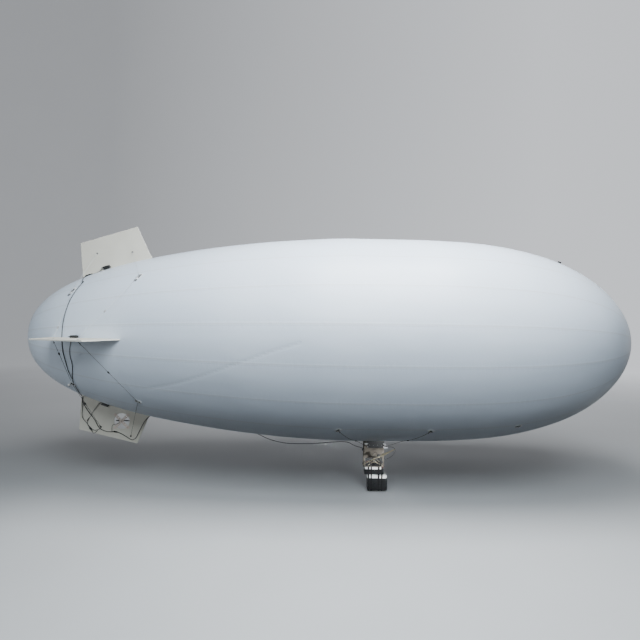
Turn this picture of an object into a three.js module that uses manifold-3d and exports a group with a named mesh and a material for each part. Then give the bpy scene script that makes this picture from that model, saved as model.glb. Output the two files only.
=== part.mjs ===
// Advertising blimp balloon: a helium envelope with four guyed foam fins, a tail fan in the
// lower fin, and a gondola under the belly with two thrusters that tilt together.
// Millimetres. The origin is on the envelope's axis at half its length. +X points to the
// nose, +Z up and +Y to port.

import * as THREE from 'three';
import { mergeVertices } from 'three/addons/utils/BufferGeometryUtils.js';
import Module from 'manifold-3d';

const wasm = await Module();
wasm.setup();

// Driving dimensions

const GAP = 0.3; // between touching pieces
const LENGTH = 4500; // envelope, nose to tail
const RADIUS = 757; // envelope, at its widest
const WIDEST_X = 128; // where it is widest
const WALL = 10;
const SIDES = 52; // flats round the envelope: 13 to a quarter, so 45 degrees is mid-flat
const HALF_FLAT = Math.PI / SIDES;
const MOUTH_RADIUS = 30; // filling mouth at the tail's tip

// The curve of each end: radius = RADIUS * (1 - s^rise)^(1 / fall), s from 0 at the widest to 1 at the tip
const TAIL_END = { rise: 1.6, fall: 2.6 };
const NOSE_END = { rise: 3.6, fall: 1.7 };

// Stations along the axis where the envelope's faceted skin has its rings. The patches sit
// half way between two of them.
const STATIONS = [
  -2249, -2244, -2228, -2195, -2140, -2060, -1970, -1860, -1720, -1560, -1380, -1220, -1010, -760,
  -500, -240, -20, 150, 380, 610, 770, 990, 1210, 1370, 1520, 1660, 1785, 1895, 1990, 2070, 2135,
  2185, 2220, 2242,
];

const VALVE = { flangeRadius: 46, flange: 5, bore: 20, neck: 14, capRadius: 26, capHeight: 9 };

// Fin outline: stations along X and heights from the axis
const FIN = {
  thickness: 9,
  rearRootX: -1898,
  frontRootX: -1356,
  noseX: -1386, // top of the small chamfer at the front of the root
  noseHeight: 634,
};

// name, quarter turns from the top towards starboard, front tip, rear tip
const FINS = [
  ['fin_top', 0, [-1485, 843], [-1922, 712]],
  ['fin_starboard', 1, [-1485, 843], [-1881, 712]],
  ['fin_bottom', 2, [-1467, 826], [-1916, 724]],
  ['fin_port', 3, [-1485, 843], [-1881, 712]],
];

// The fins' modules: station and height from the axis, on the upright fins and on the side fins
const MODULE = {
  upright: [-1714, 527],
  level: [-1688, 536],
  long: 54,
  high: 28,
  deep: 18,
  slope: 0.3,
};

const FAN = {
  x: -1588,
  height: 656,
  holeRadius: 61,
  armLong: 156,
  armWide: 19,
  armThick: 3,
  motorRadius: 11,
  motorLong: 16,
  rotorRadius: 54,
  rotorHub: 8,
};

// name, station, degrees below the horizontal
const PATCH = { radius: 24, thick: 3 };
const PATCHES = {
  front: [-1300, 45],
  rear: [-1797, 45],
  upper_front: [-1300, -45],
  upper_rear: [-1805, -45],
  gondola_rear: [65, 51.92],
  gondola_front: [690, 51.92],
};

// Each stay is named for its patch: tie on the side fin, tie on the upright fin (each a station
// and a height from the axis), 1 above the side fin or -1 below it
const STAY_RADIUS = 1.5;
const SIDE_TIES = { front: [-1546, 768], rear: [-1736, 697] };
const STAYS = [
  ['front', SIDE_TIES.front, [-1516, 771], -1],
  ['rear', SIDE_TIES.rear, [-1748, 703], -1],
  ['upper_front', SIDE_TIES.front, [-1521, 647], 1],
  ['upper_rear', SIDE_TIES.rear, [-1793, 634], 1],
];

// Gondola, from the belly down. x and z ranges are lowest then highest.
const PAD = { x: [288, 441], halfWide: 52, bottom: -765 };
const HANGER = { x: [299, 430], halfWide: 50, web: 4, bottom: -822 };
const PLATE = { x: [277, 429], outer: 45.7, thick: 3.5, top: -790, bottom: -962, sill: -900, post: 12 };
const TRAY = { x: [272, 434], halfWide: 50, z: [-966, -962.3] };
// name, x range, half width, z range, corner radius
const STACK = [
  ['spacer_upper', [287, 421], 42, [-987, -966.3], 2],
  ['battery_upper', [283, 430], 40, [-1027, -987.3], 5],
  ['spacer_lower', [303, 452], 42, [-1055, -1027.3], 2],
  ['battery_lower', [310, 456], 45, [-1146, -1055.3], 7],
];

const TILT = {
  x: 390,
  z: -880,
  restTurn: THREE.MathUtils.degToRad(-26.6), // rotors' axis, from straight up towards the tail
  shaftRadius: 5,
  shaftHole: 5.6,
  podY: 200,
  shaftEnd: 209,
  gearRadius: 16,
  gearY: [-8, -2],
};
const SERVO = { gearRadius: 12, gearGap: 0.5, x: [331.5, 371.5], y: [4, 41.8], high: 20, stub: 3 };
const POD = { clamp: 20, clampLong: 26, motorRadius: 14, motorFrom: 10.3, motorTo: 32 };
const THRUST_ROTOR = { radius: 132, hub: 8, from: 32.6, high: 9, chord: 25, pitch: 130 };

// name, x range, y range, height
const ELECTRONICS = [
  ['receiver', [292, 330], [-38, -8], 16],
  ['speed_controller_starboard', [338, 408], [-38, -12], 14],
  ['speed_controller_port', [338, 408], [12, 38], 14],
];

const CABLE = { radius: 2.5, overSkin: 1.9 };
const NOTCH = { x: [-1815, -1797], high: 9 }; // where the cable passes under the starboard fin

// The tail's cable over the skin: station, degrees from the crest towards starboard, and how far
// it is raised where it passes over a patch
const CABLE_ROUND_TAIL = [
  [-1792, 7],
  [-1812, 20],
  [-1785, 30],
  [-1758, 38],
  [-1775, 47],
  [-1791, 57],
  [-1800, 68],
  [-1806, 79],
  [-1806, 90],
  [-1803, 101],
  [-1790, 110],
  [-1787, 118],
  [-1775, 125, 2],
  [-1777, 131, 2.2],
  [-1778, 137, 2.2],
  [-1788, 145],
  [-1815, 156],
  [-1862, 167],
];
// Over the starboard face of the bottom fin: station, depth below the axis
const CABLE_OVER_FIN = [
  [-1880, 530],
  [-1848, 581],
  [-1794, 650],
  [-1757, 711],
  [-1700, 737],
  [-1630, 738],
  [-1591, 751],
  [-1545, 777],
  [-1505, 798],
  [-1478, 785],
  [-1445, 722],
  [-1402, 645],
];
// Under the belly: station, depth
const CABLE_UNDER_BELLY = [
  [-559, 730],
  [-450, 776],
  [-327, 804],
  [-134, 806],
  [50, 791],
  [110, 787],
  [165, 794],
  [198, 812],
  [232, 824],
  [262, 832],
];

// Materials

const finish = (color, roughness, metalness = 0) =>
  new THREE.MeshStandardMaterial({ color, roughness, metalness });
const skin = finish(0xdfe6ec, 0.42);
const foam = finish(0xd9d6c8, 0.75);
const plywood = finish(0x8f887a, 0.7);
const cream = finish(0xd8cfae, 0.6);
const blackPlastic = finish(0x151515, 0.5);
const whiteFoam = finish(0xf2f2f0, 0.8);
const carbon = finish(0x1c1d20, 0.35);
const motorMetal = finish(0x6d7075, 0.35, 0.8);
const cordBlack = finish(0x1a1a1a, 0.8);
const patchVinyl = finish(0xd5dde2, 0.45);

const blimp = new THREE.Group();

function add(name, geometry, material, parent = blimp) {
  const mesh = new THREE.Mesh(geometry, material);
  mesh.name = name;
  parent.add(mesh);
  return mesh;
}

// Solids joined and cut

// A geometry as one closed mesh: shared corners merged, faces without area dropped
function closed(geometry) {
  const plain = geometry.index ? geometry.clone() : mergeVertices(geometry);
  for (const attribute of ['normal', 'uv']) plain.deleteAttribute(attribute);
  const merged = mergeVertices(plain, 1e-4);
  const corners = merged.index.array;
  const kept = [];
  for (let i = 0; i < corners.length; i += 3) {
    const [a, b, c] = corners.slice(i, i + 3);
    if (a !== b && b !== c && c !== a) kept.push(a, b, c);
  }
  merged.setIndex(kept);
  return merged;
}

function toSolid(geometry) {
  const merged = closed(geometry);
  const mesh = new wasm.Mesh({
    numProp: 3,
    vertProperties: new Float32Array(merged.attributes.position.array),
    triVerts: new Uint32Array(merged.index.array),
  });
  return new wasm.Manifold(mesh);
}

function toGeometry(solid) {
  const mesh = solid.getMesh();
  const geometry = new THREE.BufferGeometry();
  geometry.setAttribute('position', new THREE.BufferAttribute(mesh.vertProperties, 3));
  geometry.setIndex(new THREE.BufferAttribute(mesh.triVerts, 1));
  geometry.computeVertexNormals();
  return geometry;
}

const join = (first, ...rest) =>
  toGeometry(rest.reduce((sum, piece) => sum.add(toSolid(piece)), toSolid(first)));

// Plain shapes

function box([x0, x1], [y0, y1], [z0, z1]) {
  const shape = new THREE.BoxGeometry(x1 - x0, y1 - y0, z1 - z0);
  return shape.translate((x0 + x1) / 2, (y0 + y1) / 2, (z0 + z1) / 2);
}

// A cylinder along Y, from y0 to y1
function rod(radius, [y0, y1], sides = 24) {
  return new THREE.CylinderGeometry(radius, radius, y1 - y0, sides).translate(0, (y0 + y1) / 2, 0);
}

// An outline in the XZ plane, given as [x, z] points, made into a board that is centred on y
function board(outline, holes, thickness, y = 0) {
  const shape = new THREE.Shape(outline.map(([x, z]) => new THREE.Vector2(x, z)));
  for (const hole of holes) {
    shape.holes.push(new THREE.Path().absarc(hole.x, hole.z, hole.radius, 0, Math.PI * 2, true));
  }
  const solid = new THREE.ExtrudeGeometry(shape, {
    depth: thickness,
    bevelEnabled: false,
    curveSegments: 16,
  });
  return solid.translate(0, 0, -thickness / 2).rotateX(Math.PI / 2).translate(0, y, 0);
}

// A round tube along a smooth curve through the points
function tube(points, radius, steps, sides = 8) {
  const section = new THREE.Shape(
    Array.from({ length: sides }, (_, i) => {
      const turn = (i / sides) * Math.PI * 2;
      return new THREE.Vector2(radius * Math.cos(turn), radius * Math.sin(turn));
    }),
  );
  const curve = new THREE.CatmullRomCurve3(
    points.map((point) => new THREE.Vector3(...point)),
    false,
    'centripetal',
  );
  return new THREE.ExtrudeGeometry(section, { steps, bevelEnabled: false, extrudePath: curve });
}

// A box with its upright edges rounded
function pack([x0, x1], halfWide, [z0, z1], corner) {
  const shape = new THREE.Shape();
  shape.absarc(x1 - corner, halfWide - corner, corner, 0, Math.PI / 2);
  shape.absarc(x0 + corner, halfWide - corner, corner, Math.PI / 2, Math.PI);
  shape.absarc(x0 + corner, corner - halfWide, corner, Math.PI, Math.PI * 1.5);
  shape.absarc(x1 - corner, corner - halfWide, corner, Math.PI * 1.5, Math.PI * 2);
  return new THREE.ExtrudeGeometry(shape, {
    depth: z1 - z0,
    bevelEnabled: false,
    curveSegments: 4,
  }).translate(0, 0, z0);
}

// Envelope

// Radius of the smooth skin at a station
function skinRadius(x) {
  const toNose = x > WIDEST_X;
  const end = toNose ? NOSE_END : TAIL_END;
  const reach = LENGTH / 2 + (toNose ? -WIDEST_X : WIDEST_X);
  const s = Math.min(1, Math.abs(x - WIDEST_X) / reach);
  return RADIUS * (1 - s ** end.rise) ** (1 / end.fall);
}

// Radius of the faceted skin at a station, and its slope, along its edges
function facetLine(x) {
  const next = STATIONS.findIndex((station) => station > x);
  const [x0, x1] = [STATIONS[next - 1], STATIONS[next]];
  const slope = (skinRadius(x1) - skinRadius(x0)) / (x1 - x0);
  return { radius: skinRadius(x0) + slope * (x - x0), slope };
}

// The shell's section: along the outside from the filling mouth to the nose, back inside
function envelopeGeometry() {
  const half = LENGTH / 2;
  const outside = STATIONS.map((x) => new THREE.Vector2(skinRadius(x), x));
  const inside = STATIONS.filter((_, i) => i % 2 === 0)
    .map((x) => x * (1 - WALL / half))
    .map((x) => new THREE.Vector2(skinRadius(x) - WALL, x))
    .filter((point) => point.x > MOUTH_RADIUS + WALL)
    .reverse();
  const mouth = [
    new THREE.Vector2(MOUTH_RADIUS, WALL - half),
    new THREE.Vector2(MOUTH_RADIUS, -half),
  ];
  const profile = [
    mouth[1],
    ...outside,
    new THREE.Vector2(0, half),
    new THREE.Vector2(0, half - WALL),
    ...inside,
    mouth[0],
    mouth[1],
  ];
  const shell = new THREE.LatheGeometry(profile, SIDES);
  return closed(shell.rotateZ(-Math.PI / 2));
}

function addEnvelope() {
  add('envelope', envelopeGeometry(), skin);

  const tail = -LENGTH / 2;
  const neck = MOUTH_RADIUS - GAP;
  const { flangeRadius, flange, bore, neck: depth, capRadius, capHeight } = VALVE;
  const outer = tail - GAP - flange;
  const valve = [
    [bore, tail + depth],
    [neck, tail + depth],
    [neck, tail - GAP],
    [flangeRadius, tail - GAP],
    [flangeRadius, outer],
    [bore, outer],
    [bore, tail + depth],
  ].reverse();
  const cap = [
    [0, outer - capHeight],
    [capRadius, outer - capHeight],
    [capRadius, outer - GAP],
    [bore - GAP, outer - GAP],
    [bore - GAP, tail],
    [0, tail],
  ];
  for (const [name, profile] of [
    ['fill_valve', valve],
    ['fill_cap', cap],
  ]) {
    const points = profile.map(([radius, x]) => new THREE.Vector2(radius, x));
    add(name, closed(new THREE.LatheGeometry(points, 32).rotateZ(-Math.PI / 2)), blackPlastic);
  }
}

// Tail

// The fin's outline, its root lying on the skin's edge line, with a notch for the cable or none
function finOutline(frontTip, rearTip, notched) {
  const onSkin = (x, lift = 0) => [x, facetLine(x).radius + GAP + 0.1 + lift];
  const root = [FIN.rearRootX, ...STATIONS, FIN.frontRootX]
    .filter((x) => x >= FIN.rearRootX && x <= FIN.frontRootX)
    .map((x) => onSkin(x));
  if (notched) {
    const [rear, front] = NOTCH.x;
    const notch = [onSkin(rear), onSkin(rear, NOTCH.high), onSkin(front, NOTCH.high), onSkin(front)];
    const before = root.findIndex(([x]) => x > front);
    root.splice(before, 0, ...notch);
  }
  return [...root, [FIN.noseX, FIN.noseHeight], frontTip, rearTip];
}

// A group that turns "up" at the top fin to each fin's own direction
function finGroup(quarters) {
  const group = new THREE.Group();
  group.rotation.x = (quarters * Math.PI) / 2;
  blimp.add(group);
  return group;
}

function addFins() {
  for (const [name, quarters, frontTip, rearTip] of FINS) {
    const group = finGroup(quarters);
    const fan = { x: FAN.x, z: FAN.height, radius: FAN.holeRadius };
    const holes = name === 'fin_bottom' ? [fan] : [];
    const outline = finOutline(frontTip, rearTip, name === 'fin_starboard');
    add(name, board(outline, holes, FIN.thickness), foam, group);

    // The small module lies on the starboard face of the upright fins and on top of the others
    const side = { fin_top: -1, fin_bottom: 1, fin_starboard: 1, fin_port: -1 }[name];
    const { long, high, deep, slope } = MODULE;
    const [x, height] = quarters % 2 === 0 ? MODULE.upright : MODULE.level;
    const face = FIN.thickness / 2 + GAP;
    const block = new THREE.BoxGeometry(long, deep, high)
      .rotateY(-slope)
      .translate(x, side * (face + deep / 2), height);
    add(name.replace('fin', 'fin_module'), block, blackPlastic, group);
  }
}

// A two-blade propeller round the Z axis: flat tapered blades, each section turned to the pitch
function propeller(radius, hub, from, high, chord, pitch) {
  const blade = (turn) => {
    const root = hub * 0.5;
    const shape = new THREE.BoxGeometry(radius - root, 1, 1, 10, 1, 1);
    shape.translate((radius + root) / 2, 0, 0);
    const place = shape.attributes.position;
    for (let i = 0; i < place.count; i += 1) {
      const r = place.getX(i);
      const s = (r - root) / (radius - root);
      const width = chord * Math.min(0.4 + 2.2 * s, 1.12 - 0.55 * s);
      const thick = 3.4 - 1.8 * s;
      const angle = Math.atan(pitch / (2 * Math.PI * Math.max(r, radius * 0.3)));
      const [v, w] = [place.getY(i) * width, place.getZ(i) * thick];
      place.setY(i, v * Math.cos(angle) - w * Math.sin(angle));
      place.setZ(i, v * Math.sin(angle) + w * Math.cos(angle));
    }
    return shape.rotateZ(turn).translate(0, 0, from + high / 2);
  };
  const boss = rod(hub, [from, from + high]).rotateX(Math.PI / 2);
  return join(boss, blade(0), blade(Math.PI));
}

function addTailFan() {
  const half = FIN.thickness / 2 + GAP;
  const plate = [half, half + FAN.armThick];
  const [reach, edge] = [FAN.armLong / 2, FAN.armWide / 2];
  const arm = (turn) =>
    box([-reach, reach], [-plate[1], -plate[0]], [-edge, edge]).rotateY(turn);
  const group = new THREE.Group();
  group.position.set(FAN.x, 0, -FAN.height);
  blimp.add(group);
  const disc = rod(FAN.motorRadius + 3, [-plate[1], -plate[0]]);
  add('fan_mount', join(disc, arm(Math.PI / 4), arm(-Math.PI / 4)), cream, group);
  const motorFrom = -plate[0] + GAP;
  const motorTo = motorFrom + FAN.motorLong;
  add('fan_motor', rod(FAN.motorRadius, [motorFrom, motorTo]), motorMetal, group);
  const rotor = propeller(FAN.rotorRadius, FAN.rotorHub, 0, 7, 13, 75)
    .rotateX(-Math.PI / 2)
    .translate(0, motorTo + 0.5, 0);
  add('fan_rotor', rotor, blackPlastic, group);
}

// A point held clear of the skin: moved straight out from the axis where it would cut in
function clearOfSkin([x, y, z], clearance) {
  const distance = Math.hypot(y, z);
  const wanted = skinRadius(x) + clearance;
  const scale = distance < wanted ? wanted / distance : 1;
  return [x, y * scale, z * scale];
}

// Points of a taut line from a to b, lying over the skin where it meets it
function tautLine(a, b, radius, pieces = 14) {
  return Array.from({ length: pieces + 1 }, (_, i) => {
    const t = i / pieces;
    const point = a.map((value, k) => value + (b[k] - value) * t);
    return i === 0 || i === pieces ? point : clearOfSkin(point, radius + PATCH.thick + 1);
  });
}

// The middle of a flat of the skin at a station, degrees below the horizontal and lifted off it
function flatSeat(x, degrees, side, lift) {
  const { radius, slope } = facetLine(x);
  const turn = THREE.MathUtils.degToRad(degrees);
  const normal = new THREE.Vector3(
    -slope * Math.cos(HALF_FLAT),
    side * Math.cos(turn),
    -Math.sin(turn),
  ).normalize();
  const middle = radius * Math.cos(HALF_FLAT);
  const seat = new THREE.Vector3(x, side * middle * Math.cos(turn), -middle * Math.sin(turn));
  return { seat: seat.addScaledVector(normal, lift), normal };
}

const SIDES_OF_SHIP = [
  ['starboard', -1],
  ['port', 1],
];

function addPatches() {
  const up = new THREE.Vector3(0, 1, 0);
  for (const [end, [x, degrees]] of Object.entries(PATCHES)) {
    for (const [sideName, side] of SIDES_OF_SHIP) {
      const { seat, normal } = flatSeat(x, degrees, side, GAP + PATCH.thick / 2);
      const disc = new THREE.CylinderGeometry(PATCH.radius - 2, PATCH.radius, PATCH.thick, 20);
      const patch = add(`patch_${end}_${sideName}`, disc, patchVinyl);
      patch.quaternion.setFromUnitVectors(up, normal);
      patch.position.copy(seat);
    }
  }
}

// Each stay runs from a side fin to its patch and on to the top or the bottom fin
function addStays() {
  const off = FIN.thickness / 2 + STAY_RADIUS + GAP;
  for (const [end, [sideX, sideHeight], [uprightX, uprightHeight], level] of STAYS) {
    const [x, degrees] = PATCHES[end];
    for (const [sideName, side] of SIDES_OF_SHIP) {
      const lift = GAP * 2 + PATCH.thick + STAY_RADIUS + 0.8;
      const turn = flatSeat(x, degrees, side, lift).seat.toArray();
      const fromFin = tautLine([sideX, side * sideHeight, level * off], turn, STAY_RADIUS);
      const toFin = tautLine(turn, [uprightX, side * off, level * uprightHeight], STAY_RADIUS);
      const route = [...fromFin, ...toFin.slice(1)];
      add(`stay_${end}_${sideName}`, tube(route, STAY_RADIUS, 28), cordBlack);
    }
  }
}

// Gondola

function addHanger() {
  const drop = Math.tan(HALF_FLAT) * PAD.halfWide;
  const crown = -facetLine(PAD.x[0]).radius - GAP - 0.1;
  const section = new THREE.Shape([
    new THREE.Vector2(-PAD.halfWide, PAD.bottom),
    new THREE.Vector2(PAD.halfWide, PAD.bottom),
    new THREE.Vector2(PAD.halfWide, crown + drop),
    new THREE.Vector2(0, crown),
    new THREE.Vector2(-PAD.halfWide, crown + drop),
  ]);
  const alongX = (shape, [x0, x1]) =>
    new THREE.ExtrudeGeometry(shape, { depth: x1 - x0, bevelEnabled: false })
      .rotateX(Math.PI / 2)
      .rotateZ(Math.PI / 2)
      .translate(x0, 0, 0);
  add('belly_pad', alongX(section, PAD.x), blackPlastic);

  const top = PAD.bottom - GAP;
  const { halfWide: wide, web, bottom } = HANGER;
  const channel = new THREE.Shape([
    new THREE.Vector2(-wide, bottom),
    new THREE.Vector2(web - wide, bottom),
    new THREE.Vector2(web - wide, top - web),
    new THREE.Vector2(wide - web, top - web),
    new THREE.Vector2(wide - web, bottom),
    new THREE.Vector2(wide, bottom),
    new THREE.Vector2(wide, top),
    new THREE.Vector2(-wide, top),
  ]);
  add('gondola_hanger', alongX(channel, HANGER.x), blackPlastic);
}

// Each side plate: a panel with the shaft's hole above, and two posts down to the tray
function addPlates() {
  const [x0, x1] = PLATE.x;
  const { top, bottom, sill, post, thick, outer } = PLATE;
  const outline = [
    [x0, bottom],
    [x0 + post, bottom],
    [x0 + post, sill],
    [x1 - post, sill],
    [x1 - post, bottom],
    [x1, bottom],
    [x1, top],
    [x0, top],
  ];
  const bearing = { x: TILT.x, z: TILT.z, radius: TILT.shaftHole };
  for (const [sideName, side] of SIDES_OF_SHIP) {
    const middle = side * (outer - thick / 2);
    add(`gondola_plate_${sideName}`, board(outline, [bearing], thick, middle), plywood);
  }
}

function addStack() {
  add('battery_tray', box(TRAY.x, [-TRAY.halfWide, TRAY.halfWide], TRAY.z), plywood);
  for (const [name, x, halfWide, z, corner] of STACK) {
    const material = name.startsWith('spacer') ? whiteFoam : blackPlastic;
    add(name, pack(x, halfWide, z, corner), material);
  }
  for (const [name, x, y, height] of ELECTRONICS) {
    const floor = TRAY.z[1] + GAP;
    add(name, box(x, y, [floor, floor + height]), blackPlastic);
  }
}

// Thrusters: one shaft across the gondola turns both pods, driven by the servo's gear
function addThrusters() {
  const tilt = new THREE.Group();
  tilt.position.set(TILT.x, 0, TILT.z);
  tilt.rotation.y = TILT.restTurn;
  blimp.add(tilt);

  const shaft = rod(TILT.shaftRadius, [-TILT.shaftEnd, TILT.shaftEnd]);
  const gear = rod(TILT.gearRadius, TILT.gearY, 32);
  const clampHalf = POD.clamp / 2;
  const clamps = SIDES_OF_SHIP.map(([, side]) => {
    const middle = side * TILT.podY;
    const y = [middle - POD.clampLong / 2, middle + POD.clampLong / 2];
    return box([-clampHalf, clampHalf], y, [-clampHalf, clampHalf]);
  });
  add('tilt_shaft', join(shaft, gear, ...clamps), carbon, tilt);

  for (const [sideName, side] of SIDES_OF_SHIP) {
    const pod = new THREE.Group();
    pod.position.y = side * TILT.podY;
    tilt.add(pod);
    const motor = rod(POD.motorRadius, [POD.motorFrom, POD.motorTo]).rotateX(Math.PI / 2);
    add(`thrust_motor_${sideName}`, motor, motorMetal, pod);
    const { radius, hub, from, high, chord, pitch } = THRUST_ROTOR;
    add(`thrust_rotor_${sideName}`, propeller(radius, hub, from, high, chord, pitch), cream, pod);
  }

  const [x0, x1] = SERVO.x;
  const gearX = TILT.x - TILT.gearRadius - SERVO.gearRadius - SERVO.gearGap;
  const servoZ = [TILT.z - SERVO.high / 2, TILT.z + SERVO.high / 2];
  add('tilt_servo', box([x0, x1], SERVO.y, servoZ), blackPlastic);
  const drive = join(
    rod(SERVO.gearRadius, TILT.gearY, 28),
    rod(SERVO.stub, [TILT.gearY[0], SERVO.y[0] - GAP]),
  ).translate(gearX, 0, TILT.z);
  add('servo_gear', drive, cream);
}

// The four lines that steady the gondola, from its patches to the hanger's corners
function addHangerLines() {
  const ends = { gondola_rear: HANGER.x[0] + 5, gondola_front: HANGER.x[1] - 5 };
  for (const [end, footX] of Object.entries(ends)) {
    const [x, degrees] = PATCHES[end];
    for (const [sideName, side] of SIDES_OF_SHIP) {
      const lift = GAP * 2 + PATCH.thick + STAY_RADIUS + 1.2;
      const top = flatSeat(x, degrees, side, lift).seat.toArray();
      const foot = [footX, side * (HANGER.halfWide + STAY_RADIUS + GAP), -815];
      const line = tube(tautLine(top, foot, STAY_RADIUS), STAY_RADIUS, 14);
      add(`${end.replace('gondola', 'hanger_line')}_${sideName}`, line, cordBlack);
    }
  }
}

// The lead that joins the fins' modules and the tail fan to the gondola, in three lengths
function addCable() {
  const lift = CABLE.radius + CABLE.overSkin;
  const overSkin = (x, degrees, raised = 0) => {
    const turn = THREE.MathUtils.degToRad(degrees);
    const radius = skinRadius(x) + lift + raised;
    return [x, -radius * Math.sin(turn), radius * Math.cos(turn)];
  };
  const thirds = [0, 1 / 3, 2 / 3];
  const roundTail = CABLE_ROUND_TAIL.flatMap((place, i) => {
    const [x, degrees, raised = 0] = place;
    const [nextX, nextDegrees, nextRaised = 0] = CABLE_ROUND_TAIL[i + 1] ?? place;
    const shares = i + 1 < CABLE_ROUND_TAIL.length ? thirds : [0];
    const between = (from, to, t) => from + (to - from) * t;
    return shares.map((t) =>
      overSkin(between(x, nextX, t), between(degrees, nextDegrees, t), between(raised, nextRaised, t)),
    );
  });
  const [moduleX, moduleHeight] = MODULE.upright;
  const module = [
    [moduleX - MODULE.long / 2 - 6, -13, moduleHeight - 12],
    [moduleX - MODULE.long / 2 - 24, -17, moduleHeight - 30],
  ];
  const beside = FIN.thickness / 2 + GAP + CABLE.radius + 0.2;
  const finPoints = CABLE_OVER_FIN.map(([x, depth]) => [x, -beside, -depth]);
  const finRoot = straightThrough([-1893, -beside - 1, -487], [0, 0, -1]);
  const frontRoot = straightThrough([-1340, -beside - 2, -(skinRadius(-1340) + lift + 2)], [1, 0, -0.1]);
  const belly = [-1240, -1080, -920, -768].map((x) => [x, -9, -(skinRadius(x) + lift)]);
  const sag = CABLE_UNDER_BELLY.map(([x, depth]) => [x, -9, -depth]);
  const receiverX = ELECTRONICS[0][1][0];
  const intoGondola = [
    [283, -13, -846],
    [290, -18, -880],
    [286, -23, -925],
    [279, -23, -951],
    [284, -23, -953],
    [receiverX - GAP, -23, -953.5],
  ];
  const lengths = [
    ['tail_lead_upper', [...module, ...roundTail, ...finRoot.before], 80],
    ['tail_lead_lower', [...finRoot.after, ...finPoints, ...frontRoot.before], 70],
    ['belly_lead', [...frontRoot.after, ...belly, ...sag, ...intoGondola], 80],
  ];
  for (const [name, points, steps] of lengths) {
    add(name, tube(shortened(points), CABLE.radius, steps), cordBlack);
  }
}

// The last points of one length and the first of the next, on one straight line where they meet
function straightThrough(point, heading, reach = 12) {
  const meet = new THREE.Vector3(...point);
  const along = new THREE.Vector3(...heading).normalize();
  const step = (distance) => meet.clone().addScaledVector(along, distance).toArray();
  return { before: [step(-reach), point], after: [point, step(reach)] };
}

// A route whose two ends are drawn back by half a gap, so that the next length meets it
function shortened(points) {
  const drawBack = (end, next) => {
    const direction = new THREE.Vector3(...next).sub(new THREE.Vector3(...end)).normalize();
    return new THREE.Vector3(...end).addScaledVector(direction, GAP / 2).toArray();
  };
  const last = points.length - 1;
  return [
    drawBack(points[0], points[1]),
    ...points.slice(1, last),
    drawBack(points[last], points[last - 1]),
  ];
}

addEnvelope();
addFins();
addTailFan();
addPatches();
addStays();
addHanger();
addPlates();
addStack();
addThrusters();
addHangerLines();
addCable();

export default blimp;
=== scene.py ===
"""Looks of an advertising blimp: its gas envelope, four guyed foam fins with a small fan in the
lowest, and the gondola with its batteries and two tilting thrusters. Metres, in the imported
model's frame: +X to the nose, +Z up, +Y to port, the origin on the envelope's axis at half its
length. A turn is an angle round that axis, from the crest towards starboard."""

from math import cos, pi, radians, sin, tau

import bpy
import numpy as np
from mathutils import Matrix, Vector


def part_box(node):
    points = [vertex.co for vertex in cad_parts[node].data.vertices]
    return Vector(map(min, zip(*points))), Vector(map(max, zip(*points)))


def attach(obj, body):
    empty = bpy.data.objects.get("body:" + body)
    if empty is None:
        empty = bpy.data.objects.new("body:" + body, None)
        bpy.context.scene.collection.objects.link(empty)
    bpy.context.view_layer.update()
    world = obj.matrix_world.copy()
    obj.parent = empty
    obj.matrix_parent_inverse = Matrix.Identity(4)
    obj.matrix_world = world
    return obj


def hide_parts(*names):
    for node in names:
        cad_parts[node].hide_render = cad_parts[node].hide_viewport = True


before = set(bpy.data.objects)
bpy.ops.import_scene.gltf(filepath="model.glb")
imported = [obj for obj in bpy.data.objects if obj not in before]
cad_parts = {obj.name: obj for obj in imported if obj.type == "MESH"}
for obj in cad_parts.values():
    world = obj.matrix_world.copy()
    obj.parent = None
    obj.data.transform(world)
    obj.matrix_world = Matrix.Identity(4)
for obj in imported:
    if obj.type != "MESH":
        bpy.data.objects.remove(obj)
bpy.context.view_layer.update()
MM = 0.001

# Camera

EYE = (-0.0381, -3.7132, 0.1478)
YAW, PITCH, ROLL = radians(0.485), radians(-0.076), radians(0.728)
SENSOR, LENS = 36.0, 27.17


def matrix_of(right, up, back, at):
    """The matrix of an object with these axes, at a point."""
    rows = np.column_stack([right, up, back, at])
    return Matrix([*rows.tolist(), [0, 0, 0, 1]])


def add_camera():
    """A level look along +Y, turned by the yaw, raised by the pitch and rolled about its own line."""
    ahead = np.array([-sin(YAW), cos(YAW), 0])
    right = np.array([cos(YAW), sin(YAW), 0])
    up = np.array([0, 0, 1.0])
    ahead, up = ahead * cos(PITCH) + up * sin(PITCH), up * cos(PITCH) - ahead * sin(PITCH)
    right, up = right * cos(ROLL) + up * sin(ROLL), up * cos(ROLL) - right * sin(ROLL)
    lens = bpy.data.cameras.new("camera")
    lens.sensor_width, lens.lens = SENSOR, LENS
    lens.clip_start, lens.clip_end = 0.05, 100
    camera = bpy.data.objects.new("camera", lens)
    camera.matrix_world = matrix_of(right, up, -ahead, EYE)
    bpy.context.scene.collection.objects.link(camera)
    bpy.context.scene.camera = camera


add_camera()

# Shapes


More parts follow.
